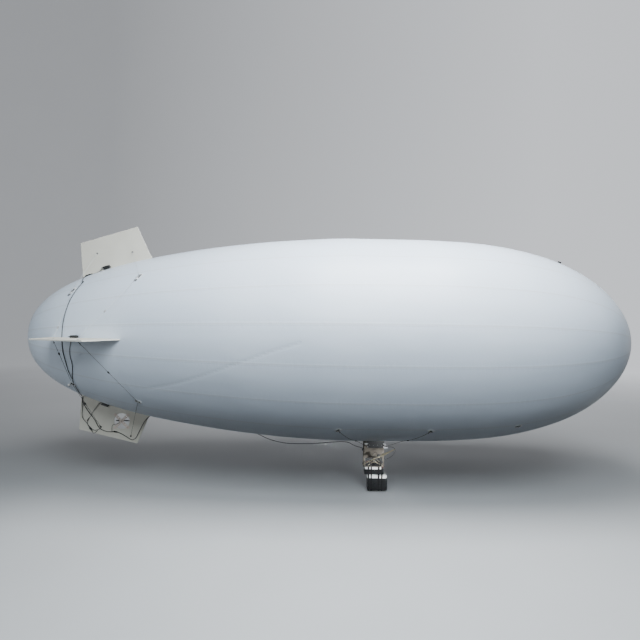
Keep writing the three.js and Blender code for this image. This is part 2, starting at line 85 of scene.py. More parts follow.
class Shape:
    """Corner points with four-sided and three-sided faces. Shapes add up to one mesh."""

    def __init__(self, points, quads=(), tris=()):
        self.points = np.asarray(points, float).reshape(-1, 3)
        self.quads = np.asarray(quads, int).reshape(-1, 4)
        self.tris = np.asarray(tris, int).reshape(-1, 3)

    def __add__(self, other):
        shift = len(self.points)
        return Shape(
            np.vstack([self.points, other.points]),
            np.vstack([self.quads, other.quads + shift]),
            np.vstack([self.tris, other.tris + shift]),
        )

    def placed(self, axes=np.eye(3), at=(0, 0, 0)):
        """Every point p goes to at + p's own x, y and z along the three axes, the rows of axes."""
        turn = -1 if np.linalg.det(axes) < 0 else 1
        points = self.points @ np.asarray(axes, float) + np.asarray(at, float)
        return Shape(points, self.quads[:, ::turn], self.tris[:, ::turn])

    def welded(self, grain=1e-7):
        """Points at one place become one, quads that lose a corner become triangles."""
        keys = np.round(self.points / grain).astype(np.int64)
        _, first, of = np.unique(keys, axis=0, return_index=True, return_inverse=True)
        of = of.ravel()
        quads, tris = of[self.quads], of[self.tris]
        same = quads == np.roll(quads, -1, axis=1)
        lost = same.sum(1)
        folded = quads[lost == 1]
        at = np.argmax(same[lost == 1], axis=1)
        keep = (at[:, None] + 1 + np.arange(3)) % 4
        tris = np.vstack([tris, np.take_along_axis(folded, keep, axis=1)])
        whole = (tris != np.roll(tris, -1, axis=1)).all(1)
        return Shape(self.points[first], quads[lost == 0], tris[whole])

    def outward(self):
        """Faces turned round if the volume that they enclose comes out negative."""
        halves = np.vstack([self.quads[:, :3], self.quads[:, [0, 2, 3]], self.tris])
        a, b, c = (self.points[halves[:, k]] for k in range(3))
        if np.einsum("ij,ij->", a, np.cross(b, c)) < 0:
            return Shape(self.points, self.quads[:, ::-1], self.tris[:, ::-1])
        return self


def joined(shapes):
    """Many shapes as one."""
    shapes = list(shapes)
    total = shapes[0]
    for shape in shapes[1:]:
        total = total + shape
    return total


def unit(vectors):
    """Vectors brought to a length of 1."""
    vectors = np.asarray(vectors, float)
    return vectors / np.linalg.norm(vectors, axis=-1, keepdims=True)


def net(rows, columns, wrap_rows=False, wrap_columns=True):
    """The quads of a grid of points that is stored row by row."""
    i, j = np.meshgrid(
        np.arange(rows if wrap_rows else rows - 1),
        np.arange(columns if wrap_columns else columns - 1),
        indexing="ij",
    )
    down, on = (i + 1) % rows, (j + 1) % columns
    corners = [i * columns + j, i * columns + on, down * columns + on, down * columns + j]
    return np.stack(corners, -1).reshape(-1, 4)


def turned(profile, sides, closed=False):
    """A lathe shape round Z: each (radius, height) of the profile makes a ring, and a ring with
    no radius is a pole. A closed profile runs back to its first point."""
    radius, height = np.asarray(profile, float).T
    angle = np.arange(sides) / sides * tau
    across, over = np.outer(radius, np.cos(angle)), np.outer(radius, np.sin(angle))
    points = np.stack([across, over, np.outer(height, np.ones(sides))], -1)
    return Shape(points, net(len(radius), sides, wrap_rows=closed)).welded().outward()


def carried(path, side=None):
    """Unit tangents of a path and two normals: one kept near the given side direction, or
    carried along without twist where none is given."""
    along = unit(np.gradient(path, axis=0))
    if side is None:
        side = np.zeros_like(along)
        side[0] = np.cross(along[0], np.eye(3)[np.argmin(abs(along[0]))])
        for k in range(1, len(path)):
            side[k] = unit(side[k - 1] - along[k] * (side[k - 1] @ along[k]))
    side = np.broadcast_to(side, along.shape)
    side = unit(side - along * np.einsum("ij,ij->i", side, along)[:, None])
    return along, side, np.cross(along, side)


def swept(path, section, side=None, loop=False, scale=1.0):
    """A section carried along a path: its point (a, b) goes a to the side and b along the other
    normal, times the scale at that step. The ends are closed flat, or joined in a loop."""
    path = np.asarray(path, float)
    section = np.asarray(section, float)
    if loop:
        around = np.vstack([path[-1], path, path[0]])
        _, across, over = (v[1:-1] for v in carried(around, side))
    else:
        _, across, over = carried(path, side)
    scale = np.broadcast_to(scale, len(path))[:, None, None]
    offset = section[:, 0, None] * across[:, None] + section[:, 1, None] * over[:, None]
    points = path[:, None] + scale * offset
    if loop:
        return Shape(points, net(len(path), len(section), wrap_rows=True)).outward()
    centre = np.broadcast_to(section.mean(0), section.shape)
    ends = [path[k] + centre[:, 0, None] * across[k] + centre[:, 1, None] * over[k] for k in (0, -1)]
    points = np.concatenate([ends[0][None], points, ends[1][None]])
    return Shape(points, net(len(points), len(section))).welded().outward()


def circle(radius, sides=10, flat=1.0):
    """A round section, squashed by flat in its second direction."""
    angle = np.arange(sides) / sides * tau
    return np.stack([radius * np.cos(angle), radius * flat * np.sin(angle)], -1)


def strip_section(width, thick):
    """The section of a flat band: a superellipse, of the 8th power across and the 4th over it."""
    angle = np.arange(16) / 16 * tau
    c, s = np.cos(angle), np.sin(angle)
    across, over = np.sign(c) * abs(c) ** 0.25, np.sign(s) * abs(s) ** 0.5
    return np.stack([across * width / 2, over * thick / 2], -1)


def tube(path, radius, sides=10, **how):
    """A round section carried along a path."""
    return swept(path, circle(radius, sides), **how)


def smooth_path(points, count):
    """A centripetal Catmull-Rom curve through the points, resampled at equal distances."""
    points = np.asarray(points, float)
    ghost = np.vstack([2 * points[0] - points[1], points, 2 * points[-1] - points[-2]])
    knots = np.concatenate([[0], np.cumsum(np.sqrt(np.linalg.norm(np.diff(ghost, axis=0), axis=1)))])
    t = np.linspace(knots[1], knots[-2], count * 8)
    k = np.clip(np.searchsorted(knots, t, side="right") - 1, 1, len(points) - 1)
    p = [ghost[k + i] for i in (-1, 0, 1, 2)]
    q = [knots[k + i] for i in (-1, 0, 1, 2)]

    def between(a, b, ta, tb):
        share = ((t - ta) / (tb - ta))[:, None]
        return a * (1 - share) + b * share

    a = [between(p[i], p[i + 1], q[i], q[i + 1]) for i in range(3)]
    b = [between(a[i], a[i + 1], q[i], q[i + 2]) for i in range(2)]
    curve = between(b[0], b[1], q[1], q[2])
    reach = np.concatenate([[0], np.cumsum(np.linalg.norm(np.diff(curve, axis=0), axis=1))])
    even = np.linspace(0, reach[-1], count)
    return np.stack([np.interp(even, reach, curve[:, axis]) for axis in range(3)], -1)


def rounded_box(low, high, corner, steps=3):
    """A box with round edges. Each face's grid point is pulled back to a box smaller by the
    corner's radius, then pushed out from there by that radius."""
    low, high = np.minimum(low, high).astype(float), np.maximum(low, high).astype(float)
    half, middle = (high - low) / 2, (low + high) / 2
    corner = min(corner, half.min() * 0.98)
    bend = corner * np.tan(np.linspace(0, pi / 4, steps + 1))
    total = None
    for axis in range(3):
        a, b = (axis + 1) % 3, (axis + 2) % 3
        spans = [half[k] - corner + bend for k in (a, b)]
        u, v = np.meshgrid(*(np.concatenate([-span[::-1], span]) for span in spans), indexing="ij")
        for sign in (-1, 1):
            points = np.zeros(u.shape + (3,))
            points[..., a], points[..., b], points[..., axis] = u, v, sign * half[axis]
            inner = np.clip(points, corner - half, half - corner)
            points = inner + corner * unit(points - inner)
            face = Shape(points, net(*u.shape, wrap_columns=False)[:, ::sign])
            total = face if total is None else total + face
    return total.placed(at=middle).welded().outward()


def block(middle, half, corner, steps=3):
    """A box with round edges from its middle and its half sizes."""
    middle, half = np.asarray(middle, float), np.asarray(half, float)
    return rounded_box(middle - half, middle + half, corner, steps)


def lofted(sections):
    """Rings of points joined one to the next, the first and last drawn to their middles."""
    sections = np.asarray(sections, float)
    first, last = (np.broadcast_to(sections[k].mean(0), sections[k].shape) for k in (0, -1))
    points = np.concatenate([first[None], sections, last[None]])
    return Shape(points, net(len(points), sections.shape[1])).welded().outward()


def screw_head(radius=1.6 * MM):
    """A domed screw head on the XY plane: a lathe profile of a rim and a low dome."""
    dome = [(radius * cos(a), radius * 0.55 * sin(a)) for a in np.linspace(0, pi / 2, 5)]
    return turned([(0, -radius * 0.3), (radius, -radius * 0.3), *dome[:-1], (0, dome[-1][1])], 12)


def in_mm(*points):
    """Points given in millimetres, in metres."""
    return np.array(points, float) * MM


def ring_of(shape, count, radius, start=0.0):
    """Copies of a shape round Z at even angles, none of them turned."""
    angles = start + np.arange(count) / count * tau
    return joined(shape.placed(at=(radius * cos(a), radius * sin(a), 0)) for a in angles)


# Pieces


def piece(name, shape, look, body="hull", smooth=True, replaces=None, attributes=None):
    """A named mesh object at the origin that rides on a body. Its finish brings the material slot
    where none is given. smooth may be an angle in degrees past which an edge stays sharp."""
    mesh = bpy.data.meshes.new(name)
    corners = np.concatenate([shape.quads.ravel(), shape.tris.ravel()])
    sizes = np.concatenate([np.full(len(shape.quads), 4), np.full(len(shape.tris), 3)])
    mesh.vertices.add(len(shape.points))
    mesh.vertices.foreach_set("co", shape.points.astype(np.float32).ravel())
    mesh.loops.add(len(corners))
    mesh.loops.foreach_set("vertex_index", corners.astype(np.int32))
    mesh.polygons.add(len(sizes))
    mesh.polygons.foreach_set("loop_start", (np.cumsum(sizes) - sizes).astype(np.int32))
    mesh.update(calc_edges=True)
    mesh.polygons.foreach_set("use_smooth", np.full(len(sizes), bool(smooth)))
    if smooth and smooth is not True:
        mesh.set_sharp_from_angle(angle=radians(smooth))
    for key, values in (attributes or {}).items():
        data = mesh.attributes.new(key, "FLOAT", "POINT").data
        data.foreach_set("value", values.astype(np.float32))
    mesh.materials.append(LOOK[look])
    made = bpy.data.objects.new(name, mesh)
    bpy.context.scene.collection.objects.link(made)
    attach(made, body)
    if replaces:
        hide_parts(replaces)
    return made


def ease_edges(made, width):
    """A narrow bevel along a piece's sharp edges."""
    bevel = made.modifiers.new("bevel", "BEVEL")
    bevel.width, bevel.segments = width, 2
    bevel.limit_method, bevel.angle_limit = "ANGLE", radians(50)


def keep_node(name, look):
    """A CAD node that stays, with its finish, and its loose triangles joined and shaded smooth."""
    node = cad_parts[name]
    for slot in node.material_slots:
        slot.material = LOOK[look]
    node.data.polygons.foreach_set("use_smooth", np.full(len(node.data.polygons), True))
    node.modifiers.new("weld", "WELD").merge_threshold = 1e-5


# Finishes


class Finish:
    """A material built up node by node round one Principled shader."""

    def __init__(self, name, **sockets):
        self.material = bpy.data.materials.new(name)
        self.material.use_nodes = True
        self.tree = self.material.node_tree
        self.shader = self.tree.nodes["Principled BSDF"]
        for socket, value in sockets.items():
            self.shader.inputs[socket.replace("_", " ")].default_value = value
        self.place = self.add("TexCoord").outputs["Object"]

    def add(self, kind, inputs=None, **settings):
        """A node with its settings, each input either linked or set."""
        node = self.tree.nodes.new("ShaderNode" + kind)
        for key, value in settings.items():
            setattr(node, key, value)
        for socket, value in (inputs or {}).items():
            if isinstance(value, bpy.types.NodeSocket):
                self.tree.links.new(value, node.inputs[socket])
            else:
                node.inputs[socket].default_value = value
        return node

    def stretched(self, x, y, z):
        """Object coordinates times a factor on each axis, for a pattern longer one way."""
        return self.add("Mapping", {"Vector": self.place, "Scale": (x, y, z)}).outputs["Vector"]

    def noise(self, scale, detail=2.0, place=None, roughness=0.5):
        """Noise of so many cycles per metre."""
        inputs = {"Vector": place or self.place, "Scale": scale, "Detail": detail, "Roughness": roughness}
        return self.add("TexNoise", inputs).outputs["Fac"]

    def math(self, operation, a, b=0.0, clamp=False):
        return self.add("Math", {0: a, 1: b}, operation=operation, use_clamp=clamp).outputs[0]

    def reach(self, value, low, high, to_low=0.0, to_high=1.0):
        """A value from low to high brought to another range and kept inside it."""
        inputs = {"Value": value, "From Min": low, "From Max": high, "To Min": to_low, "To Max": to_high}
        return self.add("MapRange", inputs, clamp=True).outputs["Result"]

    def blend(self, share, a, b):
        """Colour a, going to colour b as the share goes from 0 to 1."""
        node = self.add("Mix", {"Factor": share}, data_type="RGBA")
        for index, colour in ((6, a), (7, b)):
            if isinstance(colour, bpy.types.NodeSocket):
                self.tree.links.new(colour, node.inputs[index])
            else:
                node.inputs[index].default_value = (*colour, 1)
        return node.outputs[2]

    def attribute(self, name):
        return self.add("Attribute", attribute_name=name).outputs["Fac"]

    def link(self, socket, value):
        self.tree.links.new(value, self.shader.inputs[socket])

    def raise_by(self, height, distance, under=None):
        """Bump from a height of 0 to 1 over a distance in metres, on top of another bump."""
        inputs = {"Height": height, "Distance": distance}
        if under:
            inputs["Normal"] = under
        normal = self.add("Bump", inputs).outputs["Normal"]
        self.link("Normal", normal)
        return normal


def mottled(name, colour, other, scale, rough, grain=None, raised=0.0, **sockets):
    """A finish whose colour wanders between two, with roughness from a finer noise and a bump
    from the grain. rough is the lowest and highest roughness, scale and grain are in cycles per
    metre and raised is the bump's height in metres."""
    made = Finish(name, **sockets)
    made.link("Base Color", made.blend(made.reach(made.noise(scale, 4), 0.3, 0.7), colour, other))
    made.link("Roughness", made.reach(made.noise(scale * 4, 3), 0.3, 0.7, *rough))
    if raised:
        made.raise_by(made.noise(grain or scale * 12, 3), raised)
    return made


def skin_finish():
    """Welded satin film: bluish white, a touch uneven, with a darker line and a raised lap along
    each gore seam, ripples that fade away from the seam, and one long crease with painted shade along it."""
    made = Finish("satin_film", Specular_IOR_Level=0.5, Coat_Weight=0.12, Coat_Roughness=0.22)
    seam, crease = made.attribute("seam"), made.attribute("crease")
    wide = made.noise(1.3, 3)
    white = made.blend(made.reach(wide, 0.35, 0.65), (0.675, 0.765, 0.88), (0.715, 0.80, 0.905))
    dust = made.reach(made.noise(38, 5, roughness=0.7), 0.62, 0.8, 0, 0.25)
    white = made.blend(dust, white, (0.66, 0.69, 0.72))
    line = made.reach(seam, 0.0008, 0.0034, 0.34, 0.0)
    white = made.blend(line, white, (0.42, 0.46, 0.5))
    lap = made.reach(seam, 0.009, 0.011, 0.16, 0.0)
    white = made.blend(lap, white, (0.7, 0.73, 0.77))
    # Painted shade: the colour darkens along the crease.
    fold = made.reach(crease, 0.0, 0.012, 0.2, 0.0)
    made.link("Base Color", made.blend(fold, white, (0.45, 0.48, 0.52)))
    made.link("Roughness", made.reach(made.noise(6, 4), 0.3, 0.7, 0.33, 0.42))
    slack = made.noise(3.2, 2, made.stretched(0.45, 1, 1))
    normal = made.raise_by(slack, 0.007)
    ripples = made.noise(26, 2, made.stretched(1.5, 0.5, 0.5))
    near_seam = made.reach(seam, 0.0, 0.06, 1.0, 0.0)
    normal = made.raise_by(made.math("MULTIPLY", ripples, near_seam), 0.0016, normal)
    normal = made.raise_by(made.reach(seam, 0.0095, 0.0115, 1.0, 0.0), 0.0004, normal)
    normal = made.raise_by(made.reach(crease, 0.0, 0.018, 0.0, 1.0), 0.0012, normal)
    made.raise_by(made.noise(900, 2), 0.00006, normal)
    return made.material


# Each plain finish: the record's slot, two colours, scale, roughness, grain, raised
FINISHES = {
    "foam_face": ("fin_foam", (0.60, 0.575, 0.50), (0.64, 0.62, 0.545), 9, (0.62, 0.78), 260, 2e-4),
    # The cut edges' foam: rougher, and painted lighter than the faces as lit edges.
    "foam_edge_painted_lit": ("fin_foam", (0.80, 0.79, 0.74), (0.74, 0.73, 0.67), 60, (0.75, 0.9), 700, 4e-4),
    "black_moulding": (
        "black_plastic", (0.012, 0.012, 0.013), (0.02, 0.02, 0.021), 60, (0.38, 0.55), 900, 4e-5,
    ),
    # The black plastic again, painted pale grey as lit, for the upper stays' locks.
    "painted_lit_moulding": ("black_plastic", (0.34, 0.35, 0.36), (0.42, 0.43, 0.44), 60, (0.4, 0.55), 500, 5e-5),
    "cream_moulding": ("cream_plastic", (0.66, 0.58, 0.40), (0.58, 0.50, 0.34), 50, (0.38, 0.52), 500, 5e-5),
    "pink_cream": ("cream_plastic", (0.70, 0.60, 0.52), (0.62, 0.52, 0.45), 60, (0.45, 0.6), 500, 1e-4),
    "white_moulding": ("cord", (0.78, 0.78, 0.76), (0.70, 0.70, 0.68), 60, (0.4, 0.55), 500, 5e-5),
    "shrink_wrap": (
        "battery_wrap", (0.004, 0.0042, 0.005), (0.008, 0.0085, 0.0095), 30, (0.26, 0.4), 60, 1.2e-4,
    ),
    "packing_foam": ("spacer_foam", (0.86, 0.86, 0.84), (0.78, 0.78, 0.76), 80, (0.8, 0.95), 420, 6e-4),
    "carbon_tube": ("carbon", (0.015, 0.015, 0.017), (0.03, 0.03, 0.033), 240, (0.25, 0.4), 800, 1e-4),
    "motor_can": ("motor_metal", (0.055, 0.056, 0.06), (0.085, 0.087, 0.092), 90, (0.3, 0.45), 900, 3e-5),
    "bright_steel": ("motor_metal", (0.55, 0.55, 0.56), (0.47, 0.47, 0.48), 200, (0.2, 0.34), 900, 2e-5),
    "black_cord": ("cord", (0.018, 0.018, 0.019), (0.04, 0.04, 0.042), 700, (0.7, 0.9), 1500, 3e-4),
    # The cord again, painted pale grey as lit, for the upper stays.
    "painted_lit_line": ("cord", (0.52, 0.54, 0.56), (0.62, 0.64, 0.66), 500, (0.3, 0.45), 1200, 1e-4),
    "black_pad": ("black_plastic", (0.012, 0.012, 0.013), (0.022, 0.022, 0.023), 90, (0.8, 0.95), 700, 5e-4),
    "lead_jacket": ("cable", (0.014, 0.014, 0.016), (0.03, 0.03, 0.032), 90, (0.42, 0.6), 500, 1e-4),
    "cream_wire": ("cable", (0.62, 0.55, 0.38), (0.70, 0.63, 0.46), 90, (0.42, 0.55), 500, 5e-5),
    "red_wire": ("cable", (0.42, 0.02, 0.015), (0.32, 0.015, 0.012), 90, (0.4, 0.5), 500, 5e-5),
    "strap_web": ("cord", (0.006, 0.006, 0.0065), (0.014, 0.014, 0.015), 300, (0.8, 0.95), 1100, 5e-4),
    "white_web": ("cord", (0.90, 0.91, 0.91), (0.83, 0.84, 0.84), 400, (0.75, 0.9), 1300, 3e-4),
    "patch_film": ("patch", (0.66, 0.70, 0.75), (0.71, 0.75, 0.79), 30, (0.26, 0.4), 400, 1e-4),
}
# What some of them set on the shader itself
SOCKETS = {
    "shrink_wrap": {"Specular_IOR_Level": 0.2},
    "carbon_tube": {"Coat_Weight": 0.5},
    "motor_can": {"Metallic": 0.6},
    "bright_steel": {"Metallic": 1.0},
    "strap_web": {"Specular_IOR_Level": 0.15},
    "white_web": {"Sheen_Weight": 0.2},
    "patch_film": {"Coat_Weight": 0.2},
}


def plywood_finish():
    """Thin birch ply, stained grey-brown: grain lines along the length, warped by noise."""
    made = Finish("plywood", Specular_IOR_Level=0.35)
    grain = made.noise(60, 5, made.stretched(0.5, 1, 6), 0.65)
    streak = made.noise(260, 3, made.stretched(0.12, 1, 3))
    wood = made.blend(made.reach(grain, 0.3, 0.7), (0.15, 0.128, 0.10), (0.23, 0.20, 0.165))
    dark = made.reach(streak, 0.45, 0.75, 0, 0.5)
    made.link("Base Color", made.blend(dark, wood, (0.105, 0.09, 0.07)))
    made.link("Roughness", made.reach(grain, 0.3, 0.7, 0.55, 0.72))
    made.raise_by(streak, 0.0002)
    return made.material


LOOK = {"satin_film": skin_finish(), "plywood": plywood_finish()}
for finish_name, (slot_name, *values) in FINISHES.items():
    LOOK[finish_name] = mottled(finish_name, *values, **SOCKETS.get(finish_name, {})).material

# Envelope

HALF_LENGTH, RADIUS, WIDEST_X, WALL = 2.25, 0.757, 0.128, 0.010
TAIL_END = (1.6, 2.6)  # rise and fall of each end's curve
NOSE_END = (3.6, 1.7)
GORES = 18
FIRST_SEAM = radians(0.7)
GORE_BULGE = 1.7 * MM
SKIN_WAVE = 0.5 * MM
GATHER = 1.3 * MM
CREASE_DEPTH, CREASE_WIDTH = 0.9 * MM, 0.016
MOUTH_RADIUS = 0.030
NOSE_DISC = 0.062
RELIEF_VALVE = (1.700, 10.7)  # station, degrees from the crest, in the middle of a gore
VALVE_BORE, VALVE_NECK = 0.020, 0.0297  # the filling valve's
# Rows: where a lathe shape's x, y and z go
TO_NOSE = np.array([[0, 1, 0], [0, 0, 1], [1, 0, 0]])
TO_TAIL = np.array([[0, 0, 1], [0, 1, 0], [-1, 0, 0]])
TO_PORT = np.array([[1, 0, 0], [0, 0, -1], [0, 1, 0]])
# The long crease on the starboard side: station, degrees from the crest
CREASE = [(-1.179, 120.5), (-0.927, 112.8), (-0.624, 102.4), (-0.370, 94.5), (-0.184, 89.9)]


def sideways(side):
    """Axes as rows that stand a shape's z along Y, to port for 1 and to starboard for -1, and its
    y along Z."""
    return np.array([[1, 0, 0], [0, 0, 1], [0, side, 0]])


def skin_radius(x):
    """The ends' curve: RADIUS (1 - s^rise)^(1/fall), s from 0 at the widest to 1 at the tip."""
    x = np.asarray(x, float)
    nose = x > WIDEST_X
    rise, fall = (np.where(nose, n, t) for n, t in zip(NOSE_END, TAIL_END))
    span = HALF_LENGTH - np.where(nose, 1, -1) * WIDEST_X
    s = np.clip(abs(x - WIDEST_X) / span, 0, 1)
    return RADIUS * (1 - s**rise) ** (1 / fall)


def skin_slope(x):
    """How fast the skin's radius grows towards the nose."""
    return (skin_radius(x + MM) - skin_radius(x - MM)) / (2 * MM)


def round_axis(x, turn, radius):
    """A point at a station, a turn from the crest to starboard and a radius from the axis."""
    return np.stack(np.broadcast_arrays(x, -radius * np.sin(turn), radius * np.cos(turn)), -1)


def gore_phase(turn):
    """Where a turn lies between two seams, 0 at one and 1 at the next."""
    return ((turn - FIRST_SEAM) * GORES / tau) % 1.0


def crease_distance(x, turn):
    """Distance from the crease, with the skin laid flat round its turn."""
    radius = skin_radius(x)
    best = np.ones(np.broadcast(x, turn).shape)
    for (x0, d0), (x1, d1) in zip(CREASE, CREASE[1:]):
        ax, ay = x - x0, (turn - radians(d0)) * radius
        bx, by = x1 - x0, radians(d1 - d0) * radius
        share = np.clip((ax * bx + ay * by) / (bx * bx + by * by), 0, 1)
        best = np.minimum(best, np.hypot(ax - share * bx, ay - share * by))
    return best


def film_radius(x, turn):
    """The outer skin's radius: the ends' curve, a parabola's bulge on each gore between its seams,
    slow waves, a shallow fold along the crease, and gathers that grow towards both tips."""
    phase = gore_phase(turn)
    bulge = GORE_BULGE * 4 * phase * (1 - phase)
    waves = np.sin(7.3 * x + 2 * turn) + np.sin(11.9 * x - 3 * turn + 1.1) + np.sin(4.1 * x + 5 * turn + 0.4)
    fold = np.exp(-((crease_distance(x, turn) / CREASE_WIDTH) ** 2))
    near_tip = np.exp((abs(x) - HALF_LENGTH) / 0.16)
    gathers = near_tip * np.cos(3 * GORES * (turn - FIRST_SEAM))
    radius = skin_radius(x)
    relief = bulge + SKIN_WAVE * waves - CREASE_DEPTH * fold + GATHER * gathers
    return radius + relief * radius / RADIUS


def over_film(x, turn, lift=0.0):
    """Points over the skin at stations and turns, lifted along the skin's normal."""
    out = unit(round_axis(-skin_slope(x), turn, np.ones(np.shape(x))))
    return round_axis(x, turn, film_radius(x, turn)) + out * np.asarray(lift, float)[..., None]


def film_axes(x, degrees, lift=0.0):
    """Axes on the skin as rows, to the nose, round to port and outward, and the point there."""
    turn, slope = radians(degrees), float(skin_slope(x))
    out = unit([-slope, -sin(turn), cos(turn)])
    ahead = unit([1, -slope * sin(turn), slope * cos(turn)])
    return np.stack([ahead, np.cross(out, ahead), out]), over_film(x, turn, lift)


def clung(shape, x, degrees, spin=0.0):
    """A shape bent onto the skin: its own x runs to the nose, its y round to port and its z out
    of the skin, in metres from a station and a turn. spin turns it about the skin's normal."""
    u, v, w = shape.points.T
    u, v = u * cos(spin) - v * sin(spin), u * sin(spin) + v * cos(spin)
    station = x + u / np.hypot(1, float(skin_slope(x)))
    points = over_film(station, radians(degrees) - v / float(skin_radius(x)), w)
    return Shape(points, shape.quads, shape.tris)


def envelope_shape():
    """Rings of the outer skin from the nose to the filling mouth, close together at both ends,
    then fewer rings of the inner wall back to the nose."""
    around = GORES * 16
    turn = FIRST_SEAM + np.arange(around) / around * tau
    x = HALF_LENGTH * np.cos(np.linspace(0, pi, 286)[1:-1])[:, None] * (1 - 1e-4)
    outside = round_axis(x, turn, film_radius(x, turn[None]))
    shrink = 1 - WALL / HALF_LENGTH
    x = (HALF_LENGTH - WALL) * np.cos(np.linspace(pi, 0, 26)[1:-1])[:, None]
    inside = round_axis(x, turn, np.maximum(skin_radius(x / shrink) - WALL, MOUTH_RADIUS))
    nose, inner_nose = (round_axis(at, turn[None], 0) for at in (HALF_LENGTH, HALF_LENGTH - WALL))
    mouth = [round_axis(at, turn[None], MOUTH_RADIUS) for at in (-HALF_LENGTH, WALL - HALF_LENGTH)]
    points = np.concatenate([nose, outside, *mouth, inside, inner_nose])
    return Shape(points, net(len(points), around)).welded().outward()


def add_envelope():
    """The skin, with each point's distance in metres from the nearest seam and from the crease.
    The inner wall counts as far from both."""
    shape = envelope_shape()
    x, y, z = shape.points.T
    turn, radius = np.arctan2(-y, z), np.hypot(y, z)
    phase = gore_phase(turn)
    hidden = radius < skin_radius(x) - WALL / 2
    marks = {
        "seam": np.where(hidden, 1.0, np.minimum(phase, 1 - phase) * tau * radius / GORES),
        "crease": np.where(hidden, 1.0, crease_distance(x, turn)),
    }
    piece("envelope_skin", shape, "satin_film", replaces="envelope", attributes=marks)


def add_nose_disc():
    """The round patch that closes the gores at the nose: a lathe shape whose outer side keeps a
    millimetre off the skin's own curve."""
    radius = NOSE_DISC * np.linspace(0, 1, 12) ** 0.5
    reach = (1 - (radius / RADIUS) ** NOSE_END[1]) ** (1 / NOSE_END[0])
    x = WIDEST_X + (HALF_LENGTH - WIDEST_X) * reach
    back = x[-1] - 3 * MM
    profile = [*zip(radius, x + 1.2 * MM), (NOSE_DISC + 0.5 * MM, back), (0, back)]
    piece("nose_disc", turned(profile, 72).placed(TO_NOSE), "patch_film", smooth=35)


def add_relief_valve():
    """The small black valve beside the crest near the nose: a flange with a ring of screws, and a
    low cap with a groove under its rim."""
    axes, at = film_axes(*RELIEF_VALVE)
    flange = in_mm((0, -3), (25, -3), (26, 0.5), (25, 2.4), (12.5, 3))
    cap = in_mm((11.5, 8), (13.5, 9.5), (13.8, 12), (12, 14), (6, 14.8), (0, 15))
    body = turned([*flange, *cap], 48).placed(axes, at)
    screws = ring_of(screw_head(), 6, 20 * MM).placed(at=(0, 0, 2.4 * MM)).placed(axes, at)
    piece("relief_valve", body, "black_moulding", smooth=35)
    piece("relief_valve_screws", screws, "bright_steel")


def add_filling_valve():
    """The filling valve at the tail's tip: a flange with screws over its neck."""
    low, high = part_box("fill_valve")
    outer, inner, rim = low.x, high.x, high.z
    under = outer + 5 * MM
    profile = [(VALVE_BORE, inner), (VALVE_NECK, inner), (VALVE_NECK, under), (rim - MM, under)]
    profile += [(rim, outer + 4 * MM), (rim, outer + 1.5 * MM), (rim - 2 * MM, outer)]
    profile += [(VALVE_BORE + 8 * MM, outer), (VALVE_BORE, outer + MM)]
    valve = turned(profile, 64, closed=True).placed(TO_NOSE)
    piece("filling_valve", valve, "black_moulding", smooth=30, replaces="fill_valve")
    screws = ring_of(screw_head(2.2 * MM), 8, 38 * MM).placed(TO_TAIL, (outer, 0, 0))
    piece("filling_valve_screws", screws, "bright_steel")


def add_filling_cap():
    """The cap in the valve's bore: a plug, a rim with finger ribs, its radius plus a cosine of 36
    waves, and a bar to turn it by."""
    low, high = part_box("fill_cap")
    face, back, rim = low.x, high.x, high.z
    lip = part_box("fill_valve")[0].x - 0.3 * MM
    plug = VALVE_BORE - 0.4 * MM
    angle = np.arange(144) / 144 * tau
    ribs = 0.6 * MM * np.cos(36 * angle)
    # Radius, station, and whether the ring is ribbed
    profile = [(0, back, 0), (plug, back, 0), (plug, lip, 0), (rim - MM, lip, 0)]
    profile += [(rim - MM, lip - 0.5 * MM, 1), (rim - MM, face + 2 * MM, 1)]
    profile += [(rim - 2.5 * MM, face + 0.6 * MM, 0), (rim - 5 * MM, face, 0), (0, face, 0)]
    rings = [round_axis(x, angle, radius + ribs * ribbed) for radius, x, ribbed in profile]
    cap = Shape(np.stack(rings), net(len(rings), len(angle))).welded().outward()
    bar = rounded_box((face - 4 * MM, -0.018, -3 * MM), (face + MM, 0.018, 3 * MM), 2 * MM)
    piece("filling_cap", cap + bar, "black_moulding", smooth=30, replaces="fill_cap")


add_envelope()
add_nose_disc()
add_relief_valve()
add_filling_valve()
add_filling_cap()

# Fins

BOARD = 4.5 * MM  # half its thickness
FIN_QUARTERS = {"fin_top": 0, "fin_starboard": 1, "fin_bottom": 2, "fin_port": 3}
FIN_ROOT = (-1.898, -1.356)
FIN_CHAMFER = (-1.386, 0.634)
SIDE_FIN_TIPS = [(-1.485, 0.843), (-1.881, 0.712)]
FIN_TIPS = {
    "fin_top": [(-1.485, 0.843), (-1.922, 0.712)],
    "fin_starboard": SIDE_FIN_TIPS,
    "fin_bottom": [(-1.467, 0.826), (-1.916, 0.724)],
    "fin_port": SIDE_FIN_TIPS,
}
LEAD_NOTCH_X, LEAD_NOTCH_HALF, LEAD_NOTCH_HIGH = -1.806, 0.010, 0.010
MODULE_SIDE = {"fin_top": -1, "fin_starboard": 1, "fin_bottom": 1, "fin_port": -1}
MODULE_AT = {"upright": (-1.714, 0.527), "level": (-1.688, 0.536)}
MODULE_HALF = (0.0255, 0.0085, 0.0125)
MODULE_SLOPE = 0.3
FAN_AT = (-1.588, 0.656)
FAN_HOLE = 0.061
# Tie holes, a station and a height from the axis
SIDE_TIES = [(-1.546, 0.768), (-1.736, 0.697)]
UPPER_TIES = [(-1.521, 0.647), (-1.793, 0.634)]
LOWER_TIES = [(-1.516, 0.771), (-1.748, 0.703)]
FIN_TIES = {
    "fin_top": UPPER_TIES,
    "fin_starboard": SIDE_TIES,
    "fin_bottom": LOWER_TIES,
    "fin_port": SIDE_TIES,
}
# The point that each board's faces fan out from
FIN_MIDDLE = {
    "fin_top": (-1.65, 0.66),
    "fin_starboard": (LEAD_NOTCH_X, 0.60),
    "fin_bottom": FAN_AT,
    "fin_port": (-1.65, 0.66),
}


